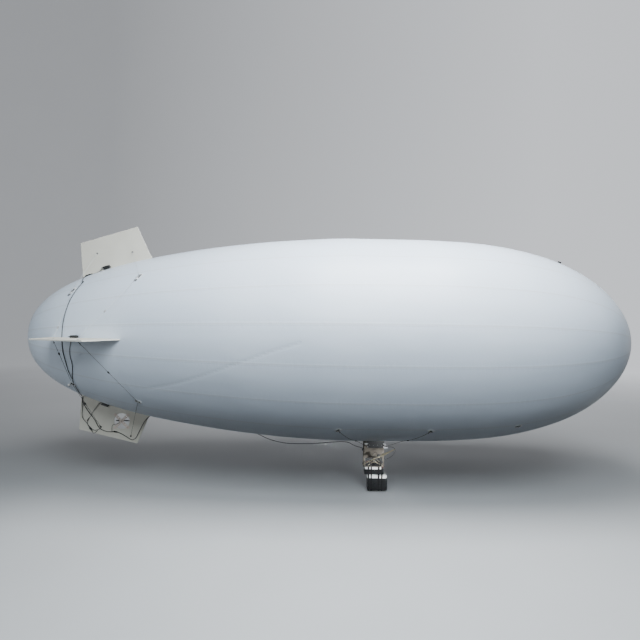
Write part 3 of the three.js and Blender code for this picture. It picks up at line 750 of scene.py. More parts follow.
def fin_axes(name):
    """A fin's own axes as rows: along X, across its board, and away from the envelope's axis."""
    turn = FIN_QUARTERS[name] * pi / 2
    return np.array([[1, 0, 0], [0, cos(turn), sin(turn)], [0, -sin(turn), cos(turn)]])


def slab(outline, middle, half, hole=0.0, rows=7):
    """A flat board in the XZ plane. Its rings run from a middle point, or a round hole there, out
    to the outline on one face, and back on the other."""
    middle = np.asarray(middle, float)
    ray = np.asarray(outline, float) - middle
    start = unit(ray) * hole
    share = np.linspace(0, 1, rows)[:, None, None]
    face = middle + start * (1 - share) + ray * share
    both = np.concatenate([face, face[::-1]])
    across = np.repeat([-half, half], rows)[:, None]
    points = np.stack(np.broadcast_arrays(both[..., 0], across, both[..., 1]), -1)
    return Shape(points, net(len(points), len(outline), wrap_rows=bool(hole))).welded().outward()


def along_edges(corners, step=0.012):
    """The corners of a closed outline with points between them, a step or less apart."""
    corners = np.asarray(corners, float)
    points = []
    for a, b in zip(corners, np.roll(corners, -1, axis=0)):
        count = max(1, int(np.ceil(np.linalg.norm(b - a) / step)))
        points.append(a + (b - a) * (np.arange(count) / count)[:, None])
    return np.vstack(points)


def fin_outline(name):
    """The root, sunk a little into the skin, then the front edge, the tip and the rear edge. The
    starboard root has an arch for the lead, half an ellipse."""
    x = np.linspace(*FIN_ROOT, 46)
    height = skin_radius(x) - 3 * MM
    if name == "fin_starboard":
        x = x[abs(x - LEAD_NOTCH_X) > LEAD_NOTCH_HALF]
        arch = np.linspace(pi, 0, 13)
        before = int((x < LEAD_NOTCH_X).sum())
        high = skin_radius(LEAD_NOTCH_X) - 3 * MM + (LEAD_NOTCH_HIGH + 3 * MM) * np.sin(arch)
        height = np.insert(skin_radius(x) - 3 * MM, before, high)
        x = np.insert(x, before, LEAD_NOTCH_X + LEAD_NOTCH_HALF * np.cos(arch))
    return along_edges([*zip(x, height), FIN_CHAMFER, *FIN_TIPS[name]])


def edge_finish(made, finish, across):
    """A second finish on the faces that don't look across the board."""
    made.data.materials.append(finish)
    normals = np.zeros(len(made.data.polygons) * 3, np.float32)
    made.data.polygons.foreach_get("normal", normals)
    on_edge = abs(normals.reshape(-1, 3) @ np.asarray(across, np.float32)) < 0.7
    made.data.polygons.foreach_set("material_index", on_edge.astype(np.int32))


def eyelet(inner=1.8 * MM, outer=7 * MM):
    """A pressed ring round a tie hole, through the board: a lathe shape with a lip on each face."""
    top = BOARD + 1.2 * MM
    lip = [(inner, top - 0.7 * MM), (inner + 0.4 * MM, top)]
    lip += [(outer - 1.2 * MM, top), (outer, top - 1.4 * MM)]
    back = [(radius, -height) for radius, height in reversed(lip)]
    return turned(lip + back, 24, closed=True)


def add_fins():
    """Each board with its cut edges in another finish, rougher and painted lighter than the faces as lit
    edges, and an eyelet in every tie hole.
    """
    for name, ties in FIN_TIES.items():
        axes = fin_axes(name)
        hole = FAN_HOLE if name == "fin_bottom" else 0.0
        board = slab(fin_outline(name), FIN_MIDDLE[name], BOARD, hole).placed(axes)
        made = piece(name + "_board", board, "foam_face", smooth=False, replaces=name)
        # The edges take a lighter copy of the foam, painted as lit.
        edge_finish(made, LOOK["foam_edge_painted_lit"], axes[1])
        ease_edges(made, 0.8 * MM)
        rings = [eyelet().placed(sideways(1), (x, 0, height)).placed(axes) for x, height in ties]
        piece(name + "_eyelets", joined(rings), "black_moulding")


def module_axes(name):
    """A module's own axes as rows, with its height sloped against the skin, and its middle."""
    along, across, away = fin_axes(name)
    across = across * MODULE_SIDE[name]
    up, ahead = sin(MODULE_SLOPE), cos(MODULE_SLOPE)
    station, height = MODULE_AT["upright" if FIN_QUARTERS[name] % 2 == 0 else "level"]
    at = along * station + across * (BOARD + 0.3 * MM + MODULE_HALF[1]) + away * height
    return np.stack([along * ahead + away * up, across, away * ahead - along * up]), at


def module_shape():
    """A case with a lid, ribs along the lid, two ears, and a plug with its strain relief at the
    rear: x runs ahead, y out of the fin's face and z away from the envelope's axis."""
    x, y, z = MODULE_HALF
    case = rounded_box((-x, -y, -z), (x, y * 0.45, z), 2 * MM)
    inset = 0.7 * MM
    lid = rounded_box((inset - x, y * 0.3, inset - z), (x - inset, y, z - inset), 2.2 * MM)
    ribs = [
        block((0, y - 0.15 * MM, at), (x * 0.62, 0.85 * MM, 0.8 * MM), 0.7 * MM)
        for at in np.linspace(-z * 0.5, z * 0.5, 4)
    ]
    ears = [
        block((side * (x + MM), 0.8 * MM - y, -0.75 * MM), (3 * MM, 0.8 * MM, 4.25 * MM), 0.8 * MM)
        for side in (-1, 1)
    ]
    plug = rounded_box((-x - 7 * MM, -4 * MM, 3 * MM), (-x + MM, 3 * MM, z - 2.5 * MM), MM)
    gland = turned(in_mm((0, 0), (2.6, 0), (2.2, 3), (2.6, 4), (2, 9), (0, 9)), 14)
    gland = gland.placed(TO_TAIL, (-x - 7 * MM, -0.5 * MM, 7.3 * MM))
    return joined([case, lid, *ribs, *ears, plug, gland])


def add_fin_modules():
    """The module on each fin, and the screws in its ears."""
    x, y, _ = MODULE_HALF
    body = module_shape()
    screws = joined(
        screw_head(1.1 * MM).placed(sideways(1), (side * (x + 2 * MM), 1.6 * MM - y, 0))
        for side in (-1, 1)
    )
    for name in FIN_QUARTERS:
        axes, at = module_axes(name)
        label, node = name.replace("fin", "module"), name.replace("fin", "fin_module")
        piece(label + "_case", body.placed(axes, at), "black_moulding", smooth=35, replaces=node)
        piece(label + "_screws", screws.placed(axes, at), "bright_steel")


def without_shared(shape):
    """A welded shape with every pair of faces that fill the same corners taken out."""
    keys = np.sort(shape.quads, axis=1)
    _, of, count = np.unique(keys, axis=0, return_inverse=True, return_counts=True)
    return Shape(shape.points, shape.quads[count[of.ravel()] == 1], shape.tris)


def square_cell(x, z, wide, high, half, hole):
    """A square cell of a perforated bar, 8 points to a side, with a round hole or none."""
    grid = np.linspace(-0.5, 0.5, 9)[:-1]
    flat = np.full(8, 0.5)
    around = np.concatenate([grid, flat, -grid, -flat])
    outline = np.stack([around, np.roll(around, 8)], -1)
    return slab(outline * (wide, high) + (x, z), (x, z), half, hole, rows=3)


def turned_about_y(angle):
    """Axes as rows, turned about Y as a hinge on Y turns."""
    return np.array([[cos(angle), 0, -sin(angle)], [0, 1, 0], [sin(angle), 0, cos(angle)]])


def blade_shape(radius, root, chord, pitch, thick_root, thick_tip):
    """A propeller blade along X that turns about Z: thin round-nosed sections, their chord set at
    atan(pitch / 2 pi r), wide in the inner half and drawn in to a rounded tip."""
    share = np.concatenate([np.linspace(0, 0.9, 16), 0.9 + 0.1 * np.sin(np.linspace(0.2, pi / 2, 7))])
    r = root + (radius - root) * share
    tip = np.sqrt(np.clip(1 - ((share - 0.86) / 0.1401).clip(0) ** 2, 0.0004, 1))
    width = chord * np.minimum(0.4 + 2.2 * share, 1.12 - 0.55 * share) * tip
    thick = (thick_root + (thick_tip - thick_root) * share) * np.sqrt(tip)
    angle = np.arctan(pitch / (tau * np.maximum(r, radius * 0.3)))
    t = np.arange(20) / 20 * tau
    across = 0.5 * np.cos(t)
    camber = 0.10 * (1 - np.cos(t) ** 2)
    up = 0.5 * np.sin(t) * (0.55 + 0.45 * np.cos(t) + 0.25)
    v = width[:, None] * across
    w = thick[:, None] * up + width[:, None] * camber * 0.5
    c, s = np.cos(angle)[:, None], np.sin(angle)[:, None]
    return lofted(np.stack([r[:, None] + 0 * v, v * c - w * s, v * s + w * c], -1))


HALF_TURN = np.diag([-1.0, -1.0, 1.0])
# Radius, the hub's radius and height, chord, pitch, and thickness at the root and at the tip
FAN_BLADES = (0.054, 8 * MM, 7 * MM, 0.013, 0.075, 2.2 * MM, 1.0 * MM)
THRUST_BLADES = (0.132, 8 * MM, 9 * MM, 0.025, 0.130, 3.4 * MM, 1.6 * MM)


def propeller_shape(radius, hub, high, chord, pitch, thick_root, thick_tip):
    """Two blades and a bored boss with chamfers, up from the XY plane."""
    blade = blade_shape(radius, hub * 0.5, chord, pitch, thick_root, thick_tip).placed(at=(0, 0, high / 2))
    bore, edge = hub * 0.25, 0.12 * hub
    boss = [(bore, 0), (hub - edge, 0), (hub, edge), (hub, high - edge), (hub - edge, high), (bore, high)]
    return joined([blade, blade.placed(HALF_TURN), turned(boss, 32, closed=True)])


def nut_shape(across, high, bore):
    """A nut with its corners turned down, a lathe shape of six sides between cones, and the end
    of the stud that it is on."""
    flat, corner, end = across * 0.5, across * 0.577, high + 2.4 * MM
    nut = turned([(flat, 0), (corner, high * 0.15), (corner, high * 0.85), (flat, high)], 6)
    stud = [(0, high - MM), (bore, high - MM), (bore, end - 0.4 * MM), (bore * 0.7, end), (0, end)]
    return nut + turned(stud, 14)


FAN_ARM = 0.078
FAN_ARM_WIDE = 0.019
FAN_PLATE = (-7.8 * MM, -4.8 * MM)  # its two faces along Y, and the motor's two ends
FAN_MOTOR = (-4.5 * MM, 11.5 * MM)
# Radius and height as shares of the motor's, and how deep the flutes are as a share of the radius
MOTOR_PROFILE = [
    (0, 0, 0), (0.62, 0, 0), (0.72, 0.04, 0), (0.72, 0.16, 0), (0.98, 0.18, 0), (1, 0.22, 0),
    (1, 0.3, 0), (1, 0.34, 0.1), (1, 0.66, 0.1), (1, 0.7, 0), (1, 0.84, 0), (0.94, 0.94, 0),
    (0.8, 1, 0), (0.3, 1, 0), (0, 1, 0),
]


def fan_mount_shape():
    """Four perforated arms at 45 degrees from a square in the middle, all cells of one welded
    plate. The outermost cell of each arm takes a screw, so its hole is small."""
    half = (FAN_PLATE[1] - FAN_PLATE[0]) / 2
    edge = FAN_ARM_WIDE / 2
    long = (FAN_ARM - edge) / 4
    cells = [square_cell(0, 0, FAN_ARM_WIDE, FAN_ARM_WIDE, half, 3 * MM)]
    for step in range(4):
        at = edge + long * (step + 0.5)
        hole = 1.4 * MM if step == 3 else 4.6 * MM
        for side in (-1, 1):
            cells.append(square_cell(side * at, 0, long, FAN_ARM_WIDE, half, hole))
            cells.append(square_cell(0, side * at, FAN_ARM_WIDE, long, half, hole))
    plate = without_shared(joined(cells).welded())
    return plate.placed(turned_about_y(pi / 4), (0, sum(FAN_PLATE) / 2, 0))


def motor_shape(radius, low, high, slots=8):
    """A small outrunner along Z: a fixed base, a bell with a rounded shoulder and a ring of
    magnet slots cut as flutes, radius less a dip of the cosine's eighth power at each slot."""
    angle = np.arange(slots * 12) / (slots * 12) * tau
    flute = np.cos(angle * slots / 2) ** 8
    share, height, dip = np.array(MOTOR_PROFILE).T[:, :, None]
    r = share * radius * (1 - dip * flute)
    z = low + height * (high - low) + 0 * angle
    points = np.stack([r * np.cos(angle), r * np.sin(angle), z], -1)
    return Shape(points, net(*r.shape)).welded().outward()


def add_tail_fan():
    """The cross with its screws, and to port of it the motor and the propeller."""
    centre = np.array([FAN_AT[0], 0, -FAN_AT[1]])
    cross = fan_mount_shape().placed(at=centre)
    made = piece("fan_cross", cross, "pink_cream", smooth=False, replaces="fan_mount")
    ease_edges(made, 0.4 * MM)
    out = FAN_ARM - (FAN_ARM - FAN_ARM_WIDE / 2) / 8
    screws = ring_of(screw_head(2.2 * MM), 4, out, pi / 4) + ring_of(screw_head(1.3 * MM), 4, 6.5 * MM)
    screws = screws.placed(sideways(-1), (0, FAN_PLATE[0], 0)).placed(at=centre)
    piece("fan_cross_screws", screws, "bright_steel")
    motor = motor_shape(0.011, *FAN_MOTOR, slots=6).placed(TO_PORT, centre)
    piece("fan_motor_can", motor, "motor_can", smooth=35, replaces="fan_motor")
    nut = nut_shape(6 * MM, 2.4 * MM, 1.2 * MM).placed(at=(0, 0, FAN_BLADES[2]))
    rotor = propeller_shape(*FAN_BLADES) + nut
    rotor = rotor.placed(TO_PORT, centre + (0, FAN_MOTOR[1] + 0.5 * MM, 0))
    piece("fan_propeller", rotor, "black_moulding", "tail_rotor", smooth=40, replaces="fan_rotor")


add_fins()
add_fin_modules()
add_tail_fan()

# Rigging

LINE = 1.2 * MM  # a stay's radius
THIN_LINE = 0.72 * MM  # an upper stay's
# Each stay: station and degrees from the crest of its patch, tie on the side fin, tie on the
# upright fin, which upright fin, and where a cord lock sits, as a share of the first leg
STAYS = {
    "front": (-1.300, 135, SIDE_TIES[0], LOWER_TIES[0], -1, 0.49),
    "rear": (-1.797, 135, SIDE_TIES[1], LOWER_TIES[1], -1, 0.285),
    "upper_front": (-1.300, 45, SIDE_TIES[0], UPPER_TIES[0], 1, 0.42),
    "upper_rear": (-1.805, 45, SIDE_TIES[1], UPPER_TIES[1], 1, 0.22),
}
# Each hanger line: station and degrees from the crest of its patch, its foot's station, where its
# cord lock sits, and its patch's spin in degrees
HANGER_LINES = {
    "rear": (0.065, 141.92, 0.304, 0.57, -50),
    "front": (0.690, 141.92, 0.425, 0.45, 230),
}
SPARE_PATCH = (1.285, 142.3)
SIDES = {"starboard": -1, "port": 1}
PATCH_PULL = 4.5 * MM  # how far off the skin a line passes through its ring
PATCH_HALF = (0.026, 0.021)
LOCK_BARREL = in_mm(
    (0, -8.5), (3.4, -8.5), (4.3, -7.2), (4.5, 0), (4.3, 7.2),
    (3.4, 8.2), (3.1, 8.2), (3.1, 12), (2.4, 12.8), (0, 12.8),
)
LOCK_RIM = in_mm((4.4, -3.2), (5.1, -2.8), (5.1, 2.8), (4.4, 3.2))


def taut(a, b, clearance, count=36):
    """A tight line from a to b, moved straight out from the axis where it would cut the skin."""
    share = np.linspace(0, 1, count)[:, None]
    line = np.asarray(a) + (np.asarray(b) - a) * share
    distance = np.hypot(line[:, 1], line[:, 2])
    wanted = film_radius(line[:, 0], np.arctan2(-line[:, 1], line[:, 2])) + clearance
    scale = np.where(distance < wanted, wanted / distance, 1.0)
    scale[[0, -1]] = 1
    return line * np.stack([np.ones(count), scale, scale], -1)


def facing(along):
    """Axes as rows, the third one along a direction."""
    along = unit(along)
    first = unit(np.cross(along, np.eye(3)[np.argmin(abs(along))]))
    return np.stack([first, np.cross(along, first), along])


def at_share(path, share):
    """The point and the direction of a path at a share of its length."""
    steps = np.linalg.norm(np.diff(path, axis=0), axis=1)
    reach = np.concatenate([[0], np.cumsum(steps)]) / steps.sum()
    k = min(int(np.searchsorted(reach, share, side="right")) - 1, len(steps) - 1)
    point = path[k] + (path[k + 1] - path[k]) * (share - reach[k]) / (reach[k + 1] - reach[k])
    return point, path[k + 1] - path[k]


def on_line(path, share):
    """Axes along a path, and the point, at a share of its length."""
    at, along = at_share(path, share)
    return facing(along), at


def torus(radius, wire, sides=28):
    """A ring round Z of round wire."""
    section = circle(wire, 10) + (radius, 0)
    return turned(section, sides, closed=True)


def knot(path, share, line=LINE, turns=4):
    """A tied knot: a coil of the same line round it at a share of its length, with a loose end."""
    t = np.linspace(0, turns * tau, turns * 12 + 1)
    climb = (t / tau - turns / 2) * 1.9 * line
    coil = np.stack([1.7 * line * np.cos(t), 1.7 * line * np.sin(t), climb], -1)
    tail = coil[-1] + np.outer(np.linspace(0.1, 1, 6), [4 * line, 2 * line, 3 * line])
    return tube(np.vstack([coil, tail]), line * 0.85, 8).placed(*on_line(path, share))


def cord_lock(path, share):
    """A spring cord lock threaded on a line: a barrel along it with a button out of one end, and
    a rim round its middle."""
    lock = turned(LOCK_BARREL, 24) + turned(LOCK_RIM, 24, closed=True)
    return lock.placed(*on_line(path, share))


def patch_shapes(x, degrees, spin):
    """A patch on the skin: its film with round corners, a webbing tab across it that rises over
    the ring, the tab's white end, stitches on the tab, and the wire ring in the tab's fold."""
    u, v = PATCH_HALF
    film = rounded_box((-u, -v, -MM), (u, v, 0.9 * MM), 0.9 * MM, 2)
    out = abs(film.points[:, :2] / PATCH_HALF)
    film.points[:, :2] *= 1 - 0.10 * (out[:, :1] * out[:, 1:]) ** 4
    tab = rounded_box((-0.019, -6.5 * MM, 0.4 * MM), (0.019, 6.5 * MM, 2.1 * MM), 0.8 * MM, 2)
    upper = tab.points[:, 2] > MM
    tab.points[:, 2] += 3.4 * MM * np.exp(-((tab.points[:, 0] / (4.5 * MM)) ** 2)) * upper
    end = rounded_box((0.016, -7 * MM, 0.4 * MM), (0.024, 7 * MM, 2.6 * MM), 0.8 * MM, 2)
    stitches = joined(
        block((side * 12.5 * MM, y * MM, 2.2 * MM), (0.35 * MM, MM, 0.3 * MM), 0.3 * MM, 1)
        for side in (-1, 1)
        for y in np.linspace(-5, 5, 5)
    )
    axes, at = film_axes(x, degrees, 5.6 * MM)
    turn = np.array([[cos(spin), sin(spin), 0], [-sin(spin), cos(spin), 0], [0, 0, 1]])
    ring = torus(5.4 * MM, 0.9 * MM).placed(TO_TAIL @ turn @ axes, at)
    return [clung(shape, x, degrees, spin) for shape in (film, tab, end, stitches)] + [ring]


def add_patch(name, x, degrees, spin, replaces=None):
    """A patch's four pieces, by the finishes that they take."""
    film, tab, end, stitches, ring = patch_shapes(x, degrees, spin)
    piece(name + "_film", film, "patch_film", smooth=40, replaces=replaces)
    piece(name + "_tab", tab, "strap_web", smooth=40)
    piece(name + "_tab_end", end + stitches, "white_web", smooth=40)
    piece(name + "_ring", ring, "bright_steel")


def add_keeper(name, x, degrees, spin):
    """The webbing slide that keeps an upper patch's tab end down, bent to the skin behind the
    ring: two rails joined by three bars, and the web under them."""
    rails = [
        block((-0.043, y, 1.9 * MM), (9 * MM, 2 * MM, 1.5 * MM), 0.9 * MM, 2)
        for y in (-7 * MM, 7 * MM)
    ]
    bars = [
        block((u, 0, 2 * MM), (1.8 * MM, 8 * MM, MM), 0.8 * MM, 2)
        for u in (-0.050, -0.043, -0.036)
    ]
    web = rounded_box((-0.047, -5 * MM, 0.4 * MM), (-0.018, 5 * MM, 1.8 * MM), 0.6 * MM, 2)
    slide = clung(joined([*rails, *bars]), x, degrees, spin)
    piece(name + "_slide", slide, "black_moulding", smooth=40)
    piece(name + "_slide_web", clung(web, x, degrees, spin), "white_web", smooth=40)


def stay_legs(x, degrees, side_tie, upright_tie, level, side):
    """From the middle of the side fin's board, out of its hole, over to the patch's ring, and on
    to the upright fin's hole and the middle of that board."""
    out = BOARD + 1.5 * MM
    from_x, from_height = side_tie
    to_x, to_height = upright_tie
    _, ring = film_axes(x, -side * degrees, PATCH_PULL)
    start = np.array([from_x, side * from_height, level * out])
    end = np.array([to_x, side * out, level * to_height])
    inside = [start * (1, 1, 0)], [end * (1, 0, 1)]
    clearance = LINE + 0.3 * MM
    first, second = taut(start, ring, clearance), taut(ring, end, clearance)
    return np.vstack([inside[0], first]), np.vstack([second, inside[1]])


def add_stays():
    """The stays with their knots, cord locks and patches. The lower ones are black cord, the
    upper ones a thinner line with locks, both painted pale grey as lit, and their patches have keepers."""
    for name, (x, degrees, side_tie, upright_tie, level, lock) in STAYS.items():
        lower = level < 0
        # The upper stays and their locks are the black cord and plastic painted pale grey: painted light.
        cord, moulding = ("black_cord", "black_moulding") if lower else ("painted_lit_line", "painted_lit_moulding")
        radius = LINE if lower else THIN_LINE
        for ship_side, side in SIDES.items():
            first, second = stay_legs(x, degrees, side_tie, upright_tie, level, side)
            path = np.vstack([first, second[1:]])
            node, patch = f"stay_{name}_{ship_side}", f"patch_{name}_{ship_side}"
            knots = joined(knot(path, share, radius) for share in (0.022, 0.978))
            piece(node + "_line", tube(path, radius) + knots, cord, replaces=node)
            locks = [cord_lock(first, lock)]
            if name == "rear":
                locks.append(cord_lock(second, 0.42))
            piece(node + "_lock", joined(locks), moulding, smooth=35)
            spin = radians(20 if lower else -65) * side
            add_patch(patch, x, -side * degrees, spin, patch)
            if not lower:
                add_keeper(patch, x, -side * degrees, spin)


def add_hanger_lines():
    """The four lines from their patches to the hanger's corners, with knots and cord locks."""
    low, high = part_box("gondola_hanger")
    for name, (x, degrees, foot_x, lock, spin) in HANGER_LINES.items():
        for ship_side, side in SIDES.items():
            _, ring = film_axes(x, -side * degrees, PATCH_PULL)
            foot = np.array([foot_x, side * (high.y + 1.4 * MM), low.z + 7 * MM])
            path = np.vstack([taut(ring, foot, LINE + 0.3 * MM), foot * (1, 0.86, 1)])
            node, patch = f"hanger_line_{name}_{ship_side}", f"patch_hanger_{name}_{ship_side}"
            knots = joined(knot(path, share, turns=5) for share in (0.04, 0.93))
            piece(node + "_cord", tube(path, LINE) + knots, "black_cord", replaces=node)
            piece(node + "_lock", cord_lock(path, lock), "black_moulding", smooth=35)
            solid = f"patch_gondola_{name}_{ship_side}"
            add_patch(patch, x, -side * degrees, radians(spin) * side, solid)


def add_spare_patches():
    """The patch on each side near the nose that no line is tied to."""
    x, degrees = SPARE_PATCH
    for ship_side, side in SIDES.items():
        add_patch(f"patch_spare_{ship_side}", x, -side * degrees, 0.0)


add_stays()
add_hanger_lines()
add_spare_patches()

# Leads

LEAD = 2.5 * MM
ON_FIN = 8 * MM  # how far starboard of the bottom fin's middle its leads run
# Over the skin, station and degrees from the crest
STARBOARD_LEAD = [
    (-1.724, 90.4), (-1.728, 92.2), (-1.736, 95.5), (-1.745, 100.5), (-1.744, 105.5),
    (-1.739, 109.5), (-1.742, 113.5), (-1.752, 118.0), (-1.766, 123.0), (-1.772, 126.5),
]
PORT_LEAD = [
    (-1.722, -90.4), (-1.730, -93.0), (-1.745, -101), (-1.752, -112), (-1.768, -124),
    (-1.800, -140), (-1.842, -155), (-1.880, -167), (-1.893, -175),
]
# On the starboard face of the bottom fin, station and height
REAR_LOOP = [
    (-1.893, -0.500), (-1.893, -0.560), (-1.890, -0.628), (-1.863, -0.666), (-1.831, -0.704),
    (-1.800, -0.727), (-1.777, -0.726), (-1.754, -0.716),
]
MODULE_LEAD = [
    (-1.743, -0.512), (-1.762, -0.522), (-1.783, -0.549), (-1.812, -0.592), (-1.824, -0.615),
    (-1.850, -0.655), (-1.847, -0.690), (-1.838, -0.702),
]
PLUG_LEAD = [(-1.838, -0.702), (-1.819, -0.727), (-1.803, -0.750), (-1.790, -0.746), (-1.772, -0.730)]
FAN_LEAD = [
    (-1.599, -0.665), (-1.622, -0.676), (-1.640, -0.681), (-1.654, -0.684), (-1.661, -0.705),
    (-1.661, -0.731),
]
LEAD_JOINT = [(-1.655, -0.7365), (-1.634, -0.7372), (-1.612, -0.743)]
# Over the skin again: the upper lead's connector, its wrap at the crest, and the beads
SKIN_CONNECTOR = [(-1.752, 32), (-1.758, 38), (-1.764, 41.5)]
CREST_WRAP = [(-1.794, 8.5), (-1.803, 13), (-1.811, 18.5)]
BEAD = (-1.827, 136.5)
BEAD_RADIUS = 10 * MM


def over_skin(places, lift):
    """A smooth path over the skin through stations and degrees from the crest."""
    station, degrees = np.array(places).T
    return smooth_path(over_film(station, np.radians(degrees), lift), 60)


def over_fin(places, out=ON_FIN):
    """A smooth path on the bottom fin's starboard face through stations and heights."""
    return smooth_path([(x, -out, z) for x, z in places], 48)


def connector(path, share, wide=4.2 * MM, high=2.5 * MM, long=9 * MM):
    """A two-part plug threaded on a lead: a housing with a slimmer one pushed into it, a latch
    on top and a sleeve at each end."""
    shell = rounded_box((-wide, -high, -long), (wide, high, 0), 0.8 * MM, 2)
    slim, low, narrow = 0.84 * wide, 0.8 * high, 0.3 * wide
    inner = rounded_box((-slim, -low, -MM), (slim, low, 0.9 * long), 0.8 * MM, 2)
    top = (narrow, high + 0.9 * MM, 0.35 * long)
    latch = rounded_box((-narrow, high * 0.6, -0.8 * long), top, 0.5 * MM, 2)
    sleeve = [(0, -1.5 * long), (1.15 * LEAD, -1.5 * long), (1.3 * LEAD, -long), (0, -long)]
    sleeves = [turned(sleeve, 16), turned([(r, -h) for r, h in sleeve], 16)]
    return joined([shell, inner, latch, *sleeves]).placed(*on_line(path, share))


def sleeve_shape(radius, half):
    """A shrunk sleeve round a lead: a lathe shape with tapered ends."""
    end = [(0, -half), (radius * 0.86, -half), (radius, -half * 0.8)]
    return turned([*end, *((r, -height) for r, height in reversed(end))], 20)


def add_leads():
    """The three long leads, which are CAD tubes, the fins' shorter ones, and their connectors."""
    for name in ("tail_lead_upper", "tail_lead_lower", "belly_lead"):
        keep_node(name, "lead_jacket")
    plug_lead, module_lead = over_fin(PLUG_LEAD, 9 * MM), over_fin(MODULE_LEAD, 9.5 * MM)
    # Each lead's path, and its radius as a share of the long leads'
    leads = {
        "module_lead_starboard": (over_skin(STARBOARD_LEAD, LEAD), 0.85),
        "module_lead_port": (over_skin(PORT_LEAD, LEAD), 0.85),
        "fin_lead_rear": (over_fin(REAR_LOOP), 0.8),
        "fin_lead_plug": (plug_lead, 0.7),
        "module_lead_bottom": (module_lead, 0.6),
        "fan_lead": (over_fin(FAN_LEAD, 9.5 * MM), 0.6),
    }
    for name, (path, share) in leads.items():
        piece(name, tube(path, LEAD * share), "lead_jacket")
    plugs = [
        connector(over_skin(SKIN_CONNECTOR, LEAD), 0.5),
        connector(plug_lead, 0.22, 5.5 * MM, 3 * MM, 15 * MM),
        connector(module_lead, 0.74, 3.6 * MM, 2.2 * MM, 8 * MM),
    ]
    piece("lead_connectors", joined(plugs), "black_moulding", smooth=35)


def add_lead_wraps():
    """The tape round the upper lead at the crest, thinner towards its ends, and the joint under
    the bottom fin's hole."""
    crest = over_skin(CREST_WRAP, LEAD + 2 * MM)
    from_end = np.minimum(np.arange(len(crest)), np.arange(len(crest))[::-1]) / 6
    scale = 0.45 + 0.55 * np.clip(from_end, 0, 1) ** 0.5
    wrap = swept(crest, circle(6.2 * MM, 16), scale=scale)
    piece("crest_lead_wrap", wrap, "strap_web", smooth=50)
    joint = sleeve_shape(4.6 * MM, 14 * MM).placed(*on_line(over_fin(LEAD_JOINT), 0.5))
    piece("lead_joint", joint, "strap_web", smooth=35)


def add_beads():
    """The white bead at each lower rear patch, a ball on a flat neck."""
    angle = np.linspace(-pi / 2, pi / 2, 14)
    ball = turned(BEAD_RADIUS * np.stack([np.cos(angle), np.sin(angle)], -1), 32)
    neck = rounded_box((0, -2.5 * MM, -9.6 * MM), (0.026, 2.5 * MM, -7.6 * MM), 0.6 * MM, 2)
    for label, side in SIDES.items():
        axes, at = film_axes(BEAD[0], -side * BEAD[1], 9 * MM)
        piece(f"stay_bead_{label}", (ball + neck).placed(axes, at), "white_moulding", smooth=50)


add_leads()
add_lead_wraps()
add_beads()

# Gondola: hanger, plates and stack

SHAFT_X, SHAFT_Z = 0.390, -0.880
SHAFT_AT = (SHAFT_X, 0.0, SHAFT_Z)
PAD_TOP = -0.7515  # pressed a little into the skin
HANGER_WALL = 4 * MM
HANGER_SCREWS_X = (0.318, 0.348, 0.381, 0.411)
FEET_X = [foot_x for _, _, foot_x, _, _ in HANGER_LINES.values()]
PLATE_SILL = -0.900  # the panel's lower edge
POST_TOP = PLATE_SILL + 0.052
POST_WIDE = 12 * MM
POST_SCREWS_Z = (-0.954, -0.906, -0.858)
BEARING = in_mm((5.4, -3), (5.4, 2.2), (7.4, 2.2), (7.8, 1.4), (12, 1.1), (12.4, -0.4), (8, -3))
STRAPS = {  # station and width
    "rear": (0.3135, 0.011),
    "mid_rear": (0.3355, 0.009),
    "mid_front": (0.3914, 0.014),
    "front": (0.4150, 0.011),
}
STRAP_TOP, STRAP_BOTTOM = -0.9672, -1.1472
# Half widths and heights down the starboard side of the stack, where the straps lie on it
STRAP_SIDE = [
    (0.0429, -0.9700), (0.0430, -0.9780), (0.0429, -0.9860), (0.0420, -1.0070),
    (0.0429, -1.0280), (0.0432, -1.0410), (0.0440, -1.0530), (0.0458, -1.0620),
    (0.0461, -1.0900), (0.0461, -1.1200), (0.0456, -1.1400),
]
STRAP_LAP = slice(3, 9)  # the heights over which a strap's loose end lies on it


def bounds_of(node):
    """A node's low and high corners, as arrays."""
    low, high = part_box(node)
    return np.array(low), np.array(high)


def rounded_section(wide, high, corner, fine=22):
    """Points round a rectangle with round corners, wide and high being its half sizes."""
    arc = np.linspace(0, pi / 2, 7)[1:-1]
    flat = np.linspace(-1, 1, fine)
    right = np.stack([np.full(fine, wide), flat * (high - corner)], -1)
    bend = np.stack([wide - corner + corner * np.cos(arc), high - corner + corner * np.sin(arc)], -1)
    top = np.stack([-flat * (wide - corner), np.full(fine, high)], -1)
    far_bend = np.stack([corner - wide - corner * np.sin(arc), high - corner + corner * np.cos(arc)], -1)
    upper = np.concatenate([right, bend, top, far_bend])
    return np.concatenate([upper, -upper])


